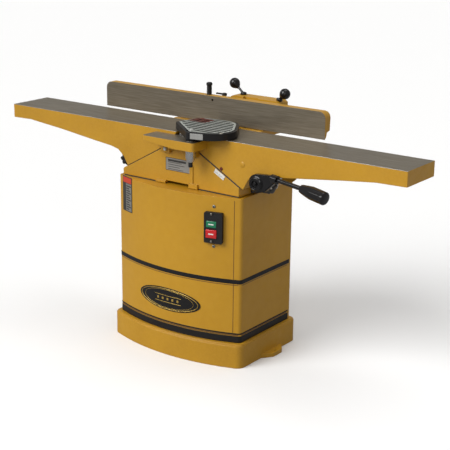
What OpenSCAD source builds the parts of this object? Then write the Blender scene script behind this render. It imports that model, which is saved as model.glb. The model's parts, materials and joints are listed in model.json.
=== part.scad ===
// Long-bed cabinet jointer with inclined dovetail ways.
// X runs along the tables towards the infeed end, -Y faces the operator, Z = 0 is the floor.

/* [Tables] */
// Height of the outfeed table top above the floor
table_h = 795; // [780:1:810]
// Width of both tables
table_w = 178; // [170:1:186]
// X of the free end of the infeed table
infeed_end = 874; // [840:1:900]
// X of the free end of the outfeed table, measured to the left
outfeed_end = 802; // [770:1:830]
// Height of the table skirt at the free ends
skirt_h = 50; // [40:1:56]
// Depth of cut set at rest
cut_depth = 1.6; // [0.5:0.1:3]
// Inclination of the ways
way_angle = 29; // [27:1:31]

/* [Cutterhead] */
// X of the cutterhead axis
cutter_x = 14; // [10:1:18]
// Cutting circle diameter
cutter_d = 76.2; // [74:0.2:78]
// Length of a knife
knife_len = 158; // [150:1:162]

/* [Cabinet] */
// Width of the cabinet
cabinet_w = 542; // [530:1:552]
// Y of the front corners of the cabinet
cabinet_front = -89; // [-92:1:-86]
// Y of the cabinet rear wall
cabinet_rear = 227; // [222:1:236]
// How far the middle of the front bows out
cabinet_bow = 57; // [50:1:62]
// Height of the cabinet top
cabinet_h = 604; // [600:1:606]
// Height of the base casting
base_h = 86; // [80:1:90]
// Overhang of the base casting round the cabinet
base_out = 17; // [12:1:20]
// Radius of the upright corners of the cabinet
cabinet_corner = 15; // [10:1:18]
// Sheet thickness of the cabinet
sheet = 3; // [2:0.5:4]

/* [Fence] */
// Length of the fence
fence_len = 966; // [940:1:980]
// X of the fence middle
fence_x = -21; // [-30:1:-10]
// Y of the fence face with the fence right back
fence_y = 108; // [106:1:110]
// Height of the fence face
fence_h = 93; // [90:1:95]
// Clearance between the fence and the tables
fence_gap = 2.2; // [2.1:0.1:2.6]

/* [Guard] */
// X of the guard post
guard_x = 90; // [86:1:94]
// Y of the guard post
guard_y = -138; // [-140:1:-134]
// Height of the guard body above the outfeed table
guard_h = 25; // [20:1:26]

/* [Hidden] */
$fn = 64;
smooth = 96;
front_y = -table_w / 2;
rear_y = table_w / 2;
cutter_z = table_h - cutter_d / 2;
infeed_top = table_h - cut_depth;
way_top_z = cutter_z - 23;
infeed_shift = cut_depth / tan(way_angle);
way_start = 81;
infeed_len = infeed_end - cutter_x;
outfeed_len = outfeed_end + cutter_x;
bed_base_z = cabinet_h + 2;
fence_z = table_h + fence_gap;
fence_left = fence_x - fence_len / 2;
fence_right = fence_x + fence_len / 2;
tilt_y = fence_y + 5;
tilt_z = fence_z + 5;
tilt_pin_d = 4;
knuckle_r = 3.6;
run = 0.05;

// ---------- shared shapes ----------

// Plan of a box whose front wall bows towards -Y in one circle arc, with rounded corners.
module bowed_plan(half_w, front, rear, bow, corner) {
    arc_r = (half_w * half_w + bow * bow) / (2 * bow);
    arc_y = front - bow + arc_r;
    corner_x = half_w - corner;
    centre_r = arc_r - corner * 0.995;   // the corner stands 0.5% proud, so that the two curves cross cleanly
    corner_y = arc_y - sqrt(pow(centre_r, 2) - pow(corner_x, 2));
    touch_x = corner_x * arc_r / centre_r;
    union() {
        intersection() {
            translate([0, arc_y]) circle(r = arc_r, $fn = 360);
            translate([-touch_x, front - bow - 1]) square([2 * touch_x, corner_y - front + bow + 1]);
        }
        translate([-half_w, corner_y]) square([2 * half_w, rear - corner - corner_y]);
        translate([-corner_x, corner_y]) square([2 * corner_x, rear - corner_y]);
        for (side = [-1, 1]) {
            translate([side * corner_x, corner_y]) circle(r = corner, $fn = 48);
            translate([side * corner_x, rear - corner]) circle(r = corner, $fn = 48);
        }
    }
}

module bowed_block(half_w, front, rear, bow, corner, low, high) {
    translate([0, 0, low]) linear_extrude(high - low) bowed_plan(half_w, front, rear, bow, corner);
}

// A round-head screw whose shank points along -Z from the seat at the origin.
module round_screw(d, len) {
    cylinder(d1 = 1.9 * d, d2 = 1.1 * d, h = 0.6 * d, $fn = 32);
    translate([0, 0, -len]) cylinder(d = d, h = len + 0.1, $fn = 24);
}

// Places children at the front of the bowed cabinet wall at a given X, with their Z pointing out.
module on_bow(x, z, out = 0) {
    half_w = cabinet_w / 2;
    sag_r = (half_w * half_w + cabinet_bow * cabinet_bow) / (2 * cabinet_bow);
    a = asin(x / sag_r);
    translate([0, cabinet_front - cabinet_bow + sag_r, z]) rotate([0, 0, a]) translate([0, -sag_r - out, 0])
        rotate([90, 0, 0]) children();
}

// ---------- stand ----------

lug_x = cabinet_w / 2 + base_out;
lug_y = 80;
lug_out = 29;
anchor_x = lug_x + 17;
anchor_d = 11;
tie_w = 24;

// A foot at the middle of a side, with its flat root inside the base wall.
module base_lug() {
    linear_extrude(14) offset(r = 9) offset(delta = -9)
        polygon([[-30, -66], [-1, -66], [lug_out, -26], [lug_out, 26], [-1, 66], [-30, 66]]);
}

module base_casting() {
    half_w = cabinet_w / 2 + base_out;
    front = cabinet_front - base_out;
    rear = cabinet_rear + base_out;
    color("goldenrod") difference() {
        union() {
            bowed_block(half_w, front, rear, cabinet_bow, 30, 0, base_h - 6);
            bowed_block(half_w - 2, front + 2, rear - 2, cabinet_bow, 28, base_h - 6.1, base_h - 2.5);
            bowed_block(half_w - 6, front + 6, rear - 6, cabinet_bow, 24, base_h - 2.6, base_h);
            for (side = [-1, 1]) translate([side * lug_x, lug_y, 0]) rotate([0, 0, side > 0 ? 0 : 180])
                base_lug();
        }
        bowed_block(half_w - 12, front + 12, rear - 12, cabinet_bow, 18, -1, base_h - 12);
        bowed_block(half_w - 60, front + 60, rear - 60, cabinet_bow - 6, 20, -1, base_h + 1);
        for (side = [-1, 1]) translate([side * anchor_x, lug_y, -1]) cylinder(d = anchor_d, h = 20);
    }
    // flat tie across the floor rim
    color("goldenrod") translate([6 - half_w, -tie_w / 2, 0]) cube([2 * half_w - 12, tie_w, 10]);
}

panel_w = 380;
panel_low = 190;
panel_high = 520;
port_z = 368;
port_d = 100;

module cabinet_shell() {
    half_w = cabinet_w / 2;
    low = base_h + 0.2;
    inner = cabinet_bow - 1;
    color("goldenrod") difference() {
        bowed_block(half_w, cabinet_front, cabinet_rear, cabinet_bow, cabinet_corner, low, cabinet_h);
        bowed_block(half_w - sheet, cabinet_front + sheet, cabinet_rear - sheet, inner, cabinet_corner - 2,
            low - 1,
            cabinet_h - sheet);
        translate([-70, -40, cabinet_h - 10]) cube([190, 100, 20]);
        translate([-30, 164, cabinet_h - 10]) cube([120, 44, 20]);
        translate([-panel_w / 2 + 18, cabinet_rear - 10, panel_low + 18])
            cube([panel_w - 36, 20, panel_high - panel_low - 36]);
        translate([-half_w - 1, 70, port_z]) rotate([0, 90, 0]) cylinder(d = port_d + 0.4, h = 20);
        for (x = [-200, 200], y = [-50, 50]) translate([x, y, cabinet_h - 10]) cylinder(d = 11, h = 20);
        translate([200, cabinet_rear - 10, 130]) rotate([-90, 0, 0]) cylinder(d = 20, h = 20);
    }
}

module rear_access_panel() {
    color("goldenrod") translate([-panel_w / 2, cabinet_rear + 0.1, panel_low]) difference() {
        union() {
            cube([panel_w, 2, panel_high - panel_low]);
            translate([14, 0, 14]) cube([panel_w - 28, 4, panel_high - panel_low - 28]);
        }
        for (x = [9, panel_w - 9], z = [9, panel_high - panel_low - 9])
            translate([x, -1, z]) rotate([-90, 0, 0]) cylinder(d = 5.4, h = 8);
        for (i = [0 : 6]) translate([70, -1, 120 + 14 * i]) cube([panel_w - 140, 8, 5]);
    }
}

// A thin layer on the outside of the cabinet, between two heights.
module cabinet_skin(inner, outer, low, high) {
    half_w = cabinet_w / 2;
    difference() {
        bowed_block(half_w + outer, cabinet_front - outer, cabinet_rear - 8, cabinet_bow,
            cabinet_corner + outer, low, high);
        bowed_block(half_w + inner, cabinet_front - inner, cabinet_rear, cabinet_bow,
            cabinet_corner + inner, low - 1,
            high + 1);
    }
}

module cabinet_stripes() {
    color("black") {
        cabinet_skin(0.1, 0.8, base_h + 1, base_h + 25);
        cabinet_skin(0.1, 0.8, base_h + 31, base_h + 36);
        cabinet_skin(0.1, 0.8, 302, 317);
    }
}

badge_w = 272;
badge_h = 83;

module oval_badge() {
    color("black") intersection() {
        cabinet_skin(0.1, 1.6, 120, 290);
        translate([-4, -60, 203]) rotate([90, 0, 0]) linear_extrude(120)
            polygon([for (a = [0 : 5 : 355]) [badge_w / 2 * cos(a), badge_h / 2 * sin(a)]]);
    }
}

module caution_plate() {
    color("dimgray") intersection() {
        cabinet_skin(0.1, 0.9, 460, 611);
        translate([-246, -140, 479]) cube([59, 100, 128]);
    }
}

switch_x = 180;
switch_z = 497;
switch_w = 66;
switch_hh = 108;
switch_depth = 14;
button_w = 38;

// Centre of a button, counted from the middle of the switch box.
start_at = [-7, 12];
stop_at = [-6, -21];

module button_window(at, size) {
    translate([at[0] - size[0] / 2, at[1] - size[1] / 2, -1]) cube([size[0], size[1], switch_depth + 6]);
}

module switch_box() {
    color("black") on_bow(switch_x, switch_z, 1.1) difference() {
        translate([0, 0, -1]) linear_extrude(switch_depth) offset(r = 5)
            square([switch_w - 10, switch_hh - 10], center = true);
        translate([0, 0, 1]) linear_extrude(switch_depth - 5)
            square([switch_w - 8, switch_hh - 22], center = true);
        button_window(start_at, [button_w, 24]);
        button_window(stop_at, [button_w + 2, 30]);
        for (y = [-1, 1]) translate([0, y * (switch_hh / 2 - 6), -5]) cylinder(d = 4.4, h = 30);
    }
}

module start_button() {
    color("green") on_bow(switch_x, switch_z, 1)
        translate([start_at[0] - button_w / 2 + 0.3, start_at[1] - 11.7, 4])
        cube([button_w - 0.6, 23.4, switch_depth - 4.5]);
}

module stop_button() {
    color("red") on_bow(switch_x, switch_z, 1)
        translate([stop_at[0] - button_w / 2 - 0.7, stop_at[1] - 14.7, 4])
        cube([button_w + 1.4, 29.4, switch_depth - 1]);
}

module stand_screws() {
    color("silver") {
        for (y = [-1, 1]) on_bow(switch_x, switch_z + y * (switch_hh / 2 - 6), switch_depth + 0.15)
            round_screw(4, 8);
        for (z = [switch_z + 72, switch_z - 68]) on_bow(switch_x - 2, z, 0.1)
            cylinder(d1 = 9, d2 = 5, h = 3);
        for (x = [9 - panel_w / 2, panel_w / 2 - 9], z = [panel_low + 9, panel_high - 9])
            translate([x, cabinet_rear + 2.2, z]) rotate([-90, 0, 0]) round_screw(5, 2);
    }
}

// ---------- drive ----------

motor_y = 120;
motor_z = 250;
motor_x = 40;
drive_y = 185;
motor_pulley_r = 48;
head_pulley_r = 32;

module dust_chute() {
    color("gray") translate([0, 70, 0]) difference() {
        union() {
            translate([-cabinet_w / 2 - 34, 0, port_z]) rotate([0, 90, 0]) cylinder(d = port_d, h = 33.5);
            translate([-cabinet_w / 2 - 1, 0, port_z]) rotate([0, 90, 0]) cylinder(d = port_d - 6, h = 66);
            translate([-cabinet_w / 2 + 60, -58, port_z - 56]) cube([120, 116, 230]);
        }
        translate([-cabinet_w / 2 - 40, 0, port_z]) rotate([0, 90, 0]) cylinder(d = port_d - 9, h = 120);
        translate([-cabinet_w / 2 + 63, -55, port_z - 53]) cube([114, 110, 240]);
    }
}

module motor_plate() {
    color("dimgray") difference() {
        translate([motor_x - 100, motor_y - 110, motor_z - 100]) cube([200, 180, 8]);
        for (x = [-80, 80], y = [-70, 30]) translate([motor_x + x, motor_y + y, motor_z - 110])
            cylinder(d = 9, h = 30);
    }
    color("dimgray") for (y = [motor_y - 108, motor_y + 54]) {
        translate([-236, y, base_h + 0.2]) cube([472, 14, 12]);
        for (x = [-1, 1]) translate([motor_x + x * 90 - 6, y, base_h + 12])
            cube([12, 14, motor_z - 111.9 - base_h]);
    }
}

module motor_housing() {
    color("black") difference() {
        union() {
            translate([motor_x, motor_y + 40, motor_z]) rotate([90, 0, 0])
                cylinder(d = 160, h = 190, $fn = smooth);
            translate([motor_x, motor_y + 47, motor_z]) rotate([90, 0, 0])
                cylinder(d = 120, h = 204, $fn = smooth);
            for (a = [20 : 20 : 160]) translate([motor_x, motor_y + 30, motor_z]) rotate([90, a, 0])
                translate([-84, -1.5, 0]) cube([168, 3, 170]);
            for (x = [-1, 1]) translate([motor_x + x * 62 - 12, motor_y - 130, motor_z - 91.9])
                cube([24, 150, 34]);
            translate([motor_x + 60, motor_y - 90, motor_z + 20]) cube([46, 80, 60]);
        }
        translate([motor_x, motor_y + 60, motor_z]) rotate([90, 0, 0]) cylinder(d = 19.2, h = 240);
        translate([motor_x, motor_y + 34, motor_z]) rotate([90, 0, 0]) cylinder(d = 130, h = 178);
    }
}

module motor_shaft() {
    color("silver") translate([motor_x, drive_y + 14, motor_z]) rotate([90, 0, 0]) {
        cylinder(d = 19, h = 250);
        translate([0, 0, 60]) cylinder(d = 110, h = 120);
    }
}

// A single-groove pulley centred on drive_y with its axis along Y.
module pulley(r, bore) {
    rotate([90, 0, 0]) translate([0, 0, -10]) difference() {
        rotate_extrude($fn = smooth)
            polygon([[4, 0], [r, 0], [r, 3], [r - 9, 7], [r - 9, 13], [r, 17], [r, 20],
            [r - 14, 20], [r - 14, 12], [bore / 2 + 7, 12], [bore / 2 + 7, 24], [4, 24]]);
        translate([0, 0, -1]) cylinder(d = bore, h = 30);
    }
}

module motor_pulley() {
    color("dimgray") translate([motor_x, drive_y, motor_z]) pulley(motor_pulley_r, 19);
}

module head_pulley() {
    color("dimgray") translate([cutter_x, drive_y, cutter_z]) pulley(head_pulley_r, 19);
}

// Outline of a loop round both pulley grooves, offset from the belt middle, seen with the motor at the origin.
module belt_loop(grow) {
    big = motor_pulley_r - 4 + grow;
    small = head_pulley_r - 4 + grow;
    len = norm([cutter_x - motor_x, cutter_z - motor_z]);
    touch = asin((big - small) / len);
    circle(r = big, $fn = smooth);
    translate([0, len]) circle(r = small, $fn = smooth);
    polygon([[-big * cos(touch), big * sin(touch)], [big * cos(touch), big * sin(touch)],
        [small * cos(touch), len + small * sin(touch)], [-small * cos(touch), len + small * sin(touch)]]);
}

module drive_belt() {
    lean = atan2(cutter_x - motor_x, cutter_z - motor_z);
    color("#222222") translate([motor_x, drive_y + 3.5, motor_z]) rotate([0, lean, 0]) rotate([90, 0, 0])
        linear_extrude(7) difference() {
            belt_loop(3.8);
            belt_loop(-3);
        }
}

module power_cord() {
    color("#222222") {
        translate([200, cabinet_rear - 2.8, 130]) rotate([-90, 0, 0]) cylinder(d = 19.6, h = 2.6);
        translate([200, cabinet_rear + 0.1, 130]) rotate([-90, 0, 0]) cylinder(d1 = 26, d2 = 14, h = 24);
        translate([200, cabinet_rear - 3, 130]) rotate([-90, 0, 0]) cylinder(d = 9, h = 50);
        translate([200, cabinet_rear + 47, 105]) rotate([0, 0, 90]) rotate([90, 0, 0])
            rotate_extrude(angle = 90, $fn = 48)
            translate([25, 0]) circle(d = 9, $fn = 24);
        translate([200, cabinet_rear + 72, 8]) cylinder(d = 9, h = 97);
    }
}

// ---------- bed ----------

// Mirrors children to both sides of the cutterhead plane when side is -1.
module bed_side(side) {
    translate([cutter_x, 0, 0]) mirror([side < 0 ? 1 : 0, 0, 0]) children();
}

// Side profile of half a bed, from the cutterhead plane outwards.
function way_drop(x) = way_top_z - (x - way_start) * tan(way_angle);

module bed_profile(end) {
    polygon([[-0.1, bed_base_z], [end, bed_base_z], [end, way_drop(end)], [way_start, way_top_z],
        [way_start - 12, way_top_z + 4], [44, way_top_z + 4], [44, cutter_z - 8], [-0.1, cutter_z - 8]]);
}

bed_left = 252;
bed_right = 256;
bed_y = 89;
shelf_z = cutter_z - 13;
rail_h = 12;
block_r = 22;

// Moves children to the start of a way: X runs down the incline and Z stands square to it.
module on_way(side) {
    bed_side(side) translate([way_start, 0, way_top_z]) rotate([0, way_angle, 0]) children();
}

flank = 7 / 13;

// Dovetail section, wider at the top, extruded down the way.
module dovetail(from, len, spread, high) {
    translate([from, 0, 0]) rotate([90, 0, 90]) linear_extrude(len)
        polygon([[-30 - spread, -1], [30 + spread, -1], [30 + spread + (high + 1) * flank, high],
            [-30 - spread - (high + 1) * flank, high]]);
}

module bed_casting() {
    color("goldenrod") difference() {
        union() {
            for (side = [-1, 1]) bed_side(side) difference() {
                translate([0, bed_y, 0]) rotate([90, 0, 0]) linear_extrude(2 * bed_y)
                    bed_profile(side > 0 ? bed_right - cutter_x : bed_left + cutter_x);
                translate([-1, -bed_y + 12, bed_base_z - 1]) cube([205, 2 * bed_y - 24, 36]);
            }
            for (side = [-1, 1]) on_way(side) dovetail(6, 175, 0, rail_h);
            translate([50, front_y - 3.5, bed_base_z + 16]) cube([14, 5, 62]);
            translate([48, front_y - 7, bed_base_z]) cube([38, 9, 17]);
            translate([-100, front_y - 4, bed_base_z]) cube([44, 6, 8]);
            translate([-170, bed_y - 1, bed_base_z]) cube([390, 2, 48]);
            translate([-170, bed_y + 0.5, bed_base_z]) cube([390, 23, shelf_z - bed_base_z]);
        }
        translate([-57, front_y - 10, bed_base_z - 1]) cube([105, 30, 11]);
        // shadow groove where each table meets the bed
        on_way(-1) translate([-6, -bed_y - 1, -2.2]) cube([240, 3.6, 3.7]);
        on_way(1) translate([-6, -bed_y - 1, -5]) cube([240, 6, 6.6]);
        // shadow gap over the cabinet top
        for (x = [-300, 48.1]) translate([x, -bed_y - 1, bed_base_z - 1]) cube([x < 0 ? 244 : 252, 5, 3.8]);
        translate([cutter_x - 42, -79.8, bed_base_z - 1]) cube([84, 160.8, 200]);
        translate([cutter_x, bed_y + 30, cutter_z]) rotate([90, 0, 0]) cylinder(r = block_r, h = 240);
        translate([-148, bed_y + 12, bed_base_z - 1]) cube([110, 8, 100]);
        translate([90, bed_y + 12, bed_base_z - 1]) cube([110, 8, 100]);
        for (x = [-200, 200], y = [-50, 50]) translate([x, y, bed_base_z - 1]) cylinder(d = 11, h = 60);
        for (x = arm_bolt_x) translate([x, front_y + 9, arm_bolt_z]) rotate([90, 0, 0])
            cylinder(d = 8, h = 40);
    }
}

arm_bolt_x = [-44, 72];
arm_bolt_z = 733;
arm_top = 784;
arm_thick = 30;
arm_low = arm_top - arm_thick;
arm_taper = 13;

arm_back = front_y - 0.2;

module rabbet_arm() {
    color("goldenrod") difference() {
        union() {
            intersection() {
                translate([0, 0, arm_low]) linear_extrude(arm_thick)
                    offset(r = 12) offset(delta = -12) translate([-98, -167]) square([220, 120]);
                translate([-200, arm_back - 200, 0]) cube([400, 200, 1000]);
            }
            translate([-66, arm_back - 14, arm_bolt_z - 13]) cube([152, 14, 36]);
        }
        // underside rises to the free end
        translate([0, arm_back - 14.2, 0]) rotate([90, 0, 0]) linear_extrude(200)
            polygon([[-120, arm_low - 20], [40, arm_low - 20], [40, arm_low - 0.01], [-98,
                arm_low + arm_taper],
                [-120, arm_low + arm_taper]]);
        for (x = arm_bolt_x) translate([x, front_y + 1, arm_bolt_z]) rotate([90, 0, 0])
            cylinder(d = 8.6, h = 60);
        translate([cutter_x, front_y + 1, cutter_z]) rotate([90, 0, 0]) cylinder(r = block_r + 0.2, h = 17);
        translate([-30, arm_back - 15, arm_bolt_z - 14]) cube([88, 16, 14]);
        translate([guard_x, guard_y, arm_top - 80]) cylinder(d = 20 + 2 * run, h = 120);
    }
}

module arm_bolts() {
    color("silver") for (x = arm_bolt_x) translate([x, arm_back - 14.1, arm_bolt_z]) rotate([90, 0, 0]) {
        difference() {
            cylinder(d = 13, h = 8);
            translate([0, 0, 3]) cylinder(d = 7, h = 9, $fn = 6);
        }
        translate([0, 0, -22]) cylinder(d = 7.9, h = 22.1);
    }
}

module bed_bolts() {
    color("silver") for (x = [-200, 200], y = [-50, 50]) translate([x, y, cabinet_h - sheet - 0.1]) {
        translate([0, 0, -6.5]) cylinder(d = 17, h = 6.5, $fn = 6);
        translate([0, 0, -1]) cylinder(d = 10, h = 30);
    }
}

module data_plate() {
    color("silver") translate([-56, front_y - 1.1, 655]) cube([105.8, 1, 45]);
}

// A strip lying along the infeed way, just under it, on the operator side of the bed.
module way_strip(from, len, drop, wide, out) {
    translate([cutter_x + way_start, front_y - out, way_top_z]) rotate([0, way_angle, 0])
        translate([from, 0, -drop - wide]) cube([len, out - 0.1, wide]);
}

module depth_scale() {
    color("white") way_strip(77, 46, 6.2, 16, 1);
}

module depth_pointer() {
    color("maroon") translate([cutter_x + way_start, front_y - 3, way_top_z]) rotate([0, way_angle, 0])
        translate([92, 0, 3]) difference() {
            cube([9, 2.9, 10]);
            translate([4.5, 5, 5]) rotate([90, 0, 0]) cylinder(d = 3, h = 8);
        }
}

cover_front = 160;
cover_top = table_h - 2;

module belt_cover() {
    color("goldenrod") difference() {
        translate([-56, cover_front, bed_base_z - 1.8]) cube([140, 52, cover_top - bed_base_z + 1.8]);
        translate([-54, cover_front + 2, bed_base_z - 3]) cube([136, 48, cover_top - bed_base_z + 1]);
        translate([cutter_x, cover_front + 10, cutter_z]) rotate([90, 0, 0]) cylinder(r = 13, h = 20);
    }
}

// ---------- tables ----------

wall = 12;
infeed_way_end = 255;
outfeed_way_end = 246;
shaft_x = 339;
shaft_z = 672;
shaft_d = 18;
boss_r = 35;
out_screw_y = -60;
out_screw_up = 26;

// Underside of each table past the way, as [distance past the end of the way, depth below the top].
infeed_skirt = [[22, 120], [35, 109], [57, 98], [148, 93], [386, 64], [496, 52]];
outfeed_skirt = [[18, 122], [44, 100], [77, 92], [166, 82], [325, 63], [483, 48]];

module table_profile(len, way_end, skirt) {
    lip = [[26, 0], [26, 7], [48, 22], [54, 43.8], [way_start - 1, table_h - way_top_z - 0.9]];
    heel = [[way_end, table_h - way_drop(way_end) - 0.3]];
    under = [for (p = skirt) [way_end + p[0], p[1]]];
    polygon([for (p = concat(lip, heel, under, [[len, skirt_h], [len, 0]])) [p[0], -p[1]]]);
}

module table_body(len, way_end, skirt) {
    difference() {
        translate([0, table_w / 2, 0]) rotate([90, 0, 0]) linear_extrude(table_w)
            table_profile(len, way_end, skirt);
        for (i = [0 : 3]) {
            pitch = (len - way_end - 80) / 4;
            translate([way_end + 66 + i * pitch, -table_w / 2 + wall, -200])
                cube([pitch - 10, table_w - 2 * wall, 180]);
        }
        translate([way_start, 0, way_top_z - table_h]) rotate([0, way_angle, 0]) {
            dovetail(-60, 330, 0.15, rail_h + 0.6);
            translate([0, 6, 0]) dovetail(-60, 330, 0.15, rail_h + 0.6);
        }
    }
}

// A round lug under each side wall of the infeed table, carrying the lever shaft.
module shaft_lugs() {
    for (y = [front_y + wall, rear_y]) translate([shaft_x, y, shaft_z]) rotate([90, 0, 0]) {
        cylinder(r = boss_r, h = wall);
        translate([-boss_r, 0, 0]) cube([2 * boss_r, 50, wall]);
    }
}

module infeed_table() {
    color("goldenrod") difference() {
        union() {
            translate([cutter_x + infeed_shift, 0, infeed_top])
                table_body(infeed_len - infeed_shift, infeed_way_end,
                infeed_skirt);
            shaft_lugs();
        }
        translate([shaft_x, table_w, shaft_z]) rotate([90, 0, 0])
            cylinder(d = shaft_d + 2 * run, h = 2 * table_w);
        translate([bed_right - 20, -36, 500]) cube([126, 72, 200]);
        for (x = screw_x) translate([x + infeed_shift, rear_y + 10, gib_z(x) - cut_depth])
            rotate([90, 0, 0])
            cylinder(d = 6.2, h = 62);
    }
}

module outfeed_table() {
    color("goldenrod") difference() {
        translate([cutter_x, 0, table_h]) mirror([1, 0, 0])
            table_body(outfeed_len, outfeed_way_end, outfeed_skirt);
        on_way(-1) translate([40, out_screw_y, out_screw_up]) rotate([0, 90, 0])
            cylinder(d = 10 + 2 * run, h = 200);
        on_way(-1) translate([58, out_screw_y - 14, -1]) cube([52, 28, 42]);
        for (x = screw_x) translate([2 * cutter_x - x, rear_y + 10, gib_z(x)]) rotate([90, 0, 0])
            cylinder(d = 6.2, h = 62);
    }
}

// Gib screws sit at these distances, on the rear side of each table.
screw_x = [228, 246];
function gib_z(x) = way_drop(x - cutter_x) + 8;

module gib(len) {
    rotate([90, 0, 90]) linear_extrude(len)
        polygon([[30.75, 0.2], [36.6, 0.2], [42.6, rail_h], [37.1, rail_h]]);
}

module infeed_gib() {
    color("silver") translate([infeed_shift, 0, -cut_depth]) on_way(1) translate([22, 0, 0]) gib(160);
}

module outfeed_gib() {
    color("silver") on_way(-1) translate([22, 0, 0]) gib(150);
}

module gib_screw(x, z) {
    translate([x, rear_y + 0.1, z]) rotate([-90, 0, 0]) {
        difference() {
            translate([0, 0, 7]) cylinder(d = 6, h = 6);
            translate([0, 0, 9]) cylinder(d = 3.2, h = 9, $fn = 6);
        }
        translate([0, 0, -47]) cylinder(d = 6, h = 55);
        cylinder(d = 11, h = 5, $fn = 6);
    }
}

module infeed_gib_screws() {
    color("silver") for (x = screw_x) gib_screw(x + infeed_shift, gib_z(x) - cut_depth);
}

module outfeed_gib_screws() {
    color("silver") for (x = screw_x) gib_screw(2 * cutter_x - x, gib_z(x));
}

// ---------- infeed lever ----------

// The crank pin works in a slot square to the ways, so shaft turn and table travel stay in step.
crank_r = 38.3;
swing = 40;
rest_turn = swing * (0.5 - cut_depth / 12.7);
pin_angle = 180 + 90 - way_angle + rest_turn;
pin_x = shaft_x + crank_r * cos(pin_angle);
pin_z = shaft_z + crank_r * sin(pin_angle);
pin_d = 10;

module lever_yoke() {
    color("dimgray") difference() {
        union() {
            translate([bed_right + 0.2, -20, bed_base_z + 3]) cube([8, 40, 26]);
            translate([bed_right + 8, -5, bed_base_z + 6]) cube([pin_x - bed_right - 17, 10, 18]);
            translate([pin_x, 6, pin_z]) rotate([0, way_angle, 0]) translate([-12, -12, -16])
                cube([24, 12, 32]);
        }
        translate([pin_x, 8, pin_z]) rotate([0, way_angle, 0]) translate([-pin_d / 2 - 0.3, -20, -10])
            cube([pin_d + 0.6, 30, 20]);
    }
}

module lever_shaft() {
    color("silver") {
        translate([shaft_x, rear_y + 6, shaft_z]) rotate([90, 0, 0])
            cylinder(d = shaft_d, h = table_w + 22);
        translate([shaft_x, 20, shaft_z]) rotate([90, 0, 0]) cylinder(d = 34, h = 12);
        translate([shaft_x, 20, shaft_z]) rotate([90, 0, 0]) rotate([0, 0, pin_angle]) {
            translate([0, -9, 0]) cube([crank_r, 18, 12]);
            translate([crank_r, 0, 0]) cylinder(d = 18, h = 12);
            translate([crank_r, 0, 0]) cylinder(d = pin_d, h = 28);
        }
    }
}

hub_y = -93;
elbow = [68, 24];

// Teardrop plan of the hub: a disc that runs out to the elbow.
module hub_plan(r) {
    hull() {
        circle(r = r);
        translate([18, 2]) circle(r = r - 2);
        translate(elbow * 0.86) circle(r = r - 16);
    }
}

module lever_hub() {
    color("black") difference() {
        union() {
            translate([shaft_x, hub_y, shaft_z]) rotate([90, 0, 0]) {
                linear_extrude(14) hub_plan(31);
                translate([0, 0, 13.9]) linear_extrude(4) hub_plan(28);
                translate([0, 0, 17.8]) cylinder(r1 = 26, r2 = 20, h = 3);
            }
            on_rod() translate([0, 0, -12]) cylinder(d = 29, h = 24);
        }
        translate([shaft_x - 60, hub_y + 1.2, shaft_z - 60]) cube([200, 40, 160]);
        translate([shaft_x, hub_y + 2, shaft_z]) rotate([90, 0, 0]) cylinder(d = shaft_d + 0.02, h = 14.1);
        on_rod() translate([0, 0, -5]) cylinder(d = rod_d + 0.02, h = 20);
    }
}

lever_fall = 5;
lever_out = 7;
rod_d = 15;

// Places children at the lever elbow with Z running out along the rod.
module on_rod() {
    translate([shaft_x + elbow[0], hub_y - 9, shaft_z + elbow[1]]) rotate([0, lever_fall, -lever_out])
        rotate([0, 90, 0]) children();
}

module lever_rod() {
    color("black") on_rod() {
        translate([0, 0, -5]) cylinder(d = rod_d, h = 115);
        translate([0, 0, 109.9]) cylinder(d = 10, h = 60);
    }
}

module lever_grip() {
    color("black") on_rod() difference() {
        translate([0, 0, 110.1]) rotate_extrude()
            polygon([[0, 0], [9, 0], [10.5, 3], [14.5, 40], [15.8, 92], [15.8, 98], [12.5, 104], [0, 104]]);
        translate([0, 0, 100]) cylinder(d = 10.02, h = 72);
    }
}

// ---------- outfeed adjustment ----------

module outfeed_screw() {
    color("silver") on_way(-1) translate([72, out_screw_y, out_screw_up]) rotate([0, 90, 0])
        cylinder(d = 10, h = 137.5);
}

module outfeed_knob() {
    color("black") on_way(-1) translate([197.5, out_screw_y, out_screw_up]) rotate([0, 90, 0]) difference() {
        union() {
            cylinder(r = 17, h = 18);
            for (a = [0 : 60 : 300]) rotate([0, 0, a]) translate([16, 0, 0]) cylinder(r = 6.5, h = 18);
        }
        translate([0, 0, -1]) cylinder(d = 10.02, h = 14);
    }
}

module outfeed_nut() {
    color("dimgray") on_way(-1) difference() {
        translate([74, out_screw_y - 11, 0.2]) cube([22, 22, 36]);
        translate([60, out_screw_y, out_screw_up]) rotate([0, 90, 0]) cylinder(d = 10 + 2 * run, h = 60);
    }
}

// ---------- cutterhead ----------

journal_d = 20;
head_rear = 79;
body_r = cutter_d / 2 - 1.8;
knife_set = [0, 120, 240];
bearing_w = 14;

module on_head() {
    translate([cutter_x, head_rear, cutter_z]) rotate([90, 0, 0]) children();
}

module knife_slot(grow) {
    translate([body_r - 15, -3.4 - grow, -1]) cube([20, 13 + 2 * grow, knife_len + 2]);
}

module cutterhead() {
    color("silver") on_head() {
        difference() {
            cylinder(r = body_r, h = knife_len, $fn = smooth);
            for (a = knife_set) rotate([0, 0, a]) knife_slot(0.05);
        }
        translate([0, 0, knife_len - 0.1]) cylinder(d = journal_d, h = 22);
        translate([0, 0, -42]) cylinder(d = journal_d, h = 42.1);
        translate([0, 0, -118]) cylinder(d = 19, h = 76.1);
    }
}

module knives() {
    color("silver") on_head() for (a = knife_set) rotate([0, 0, a]) translate([body_r - 14.6, -3.3, 0])
        linear_extrude(knife_len) polygon([[0, 0], [15.9, 0], [13.5, 3], [0, 3]]);
}

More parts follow.
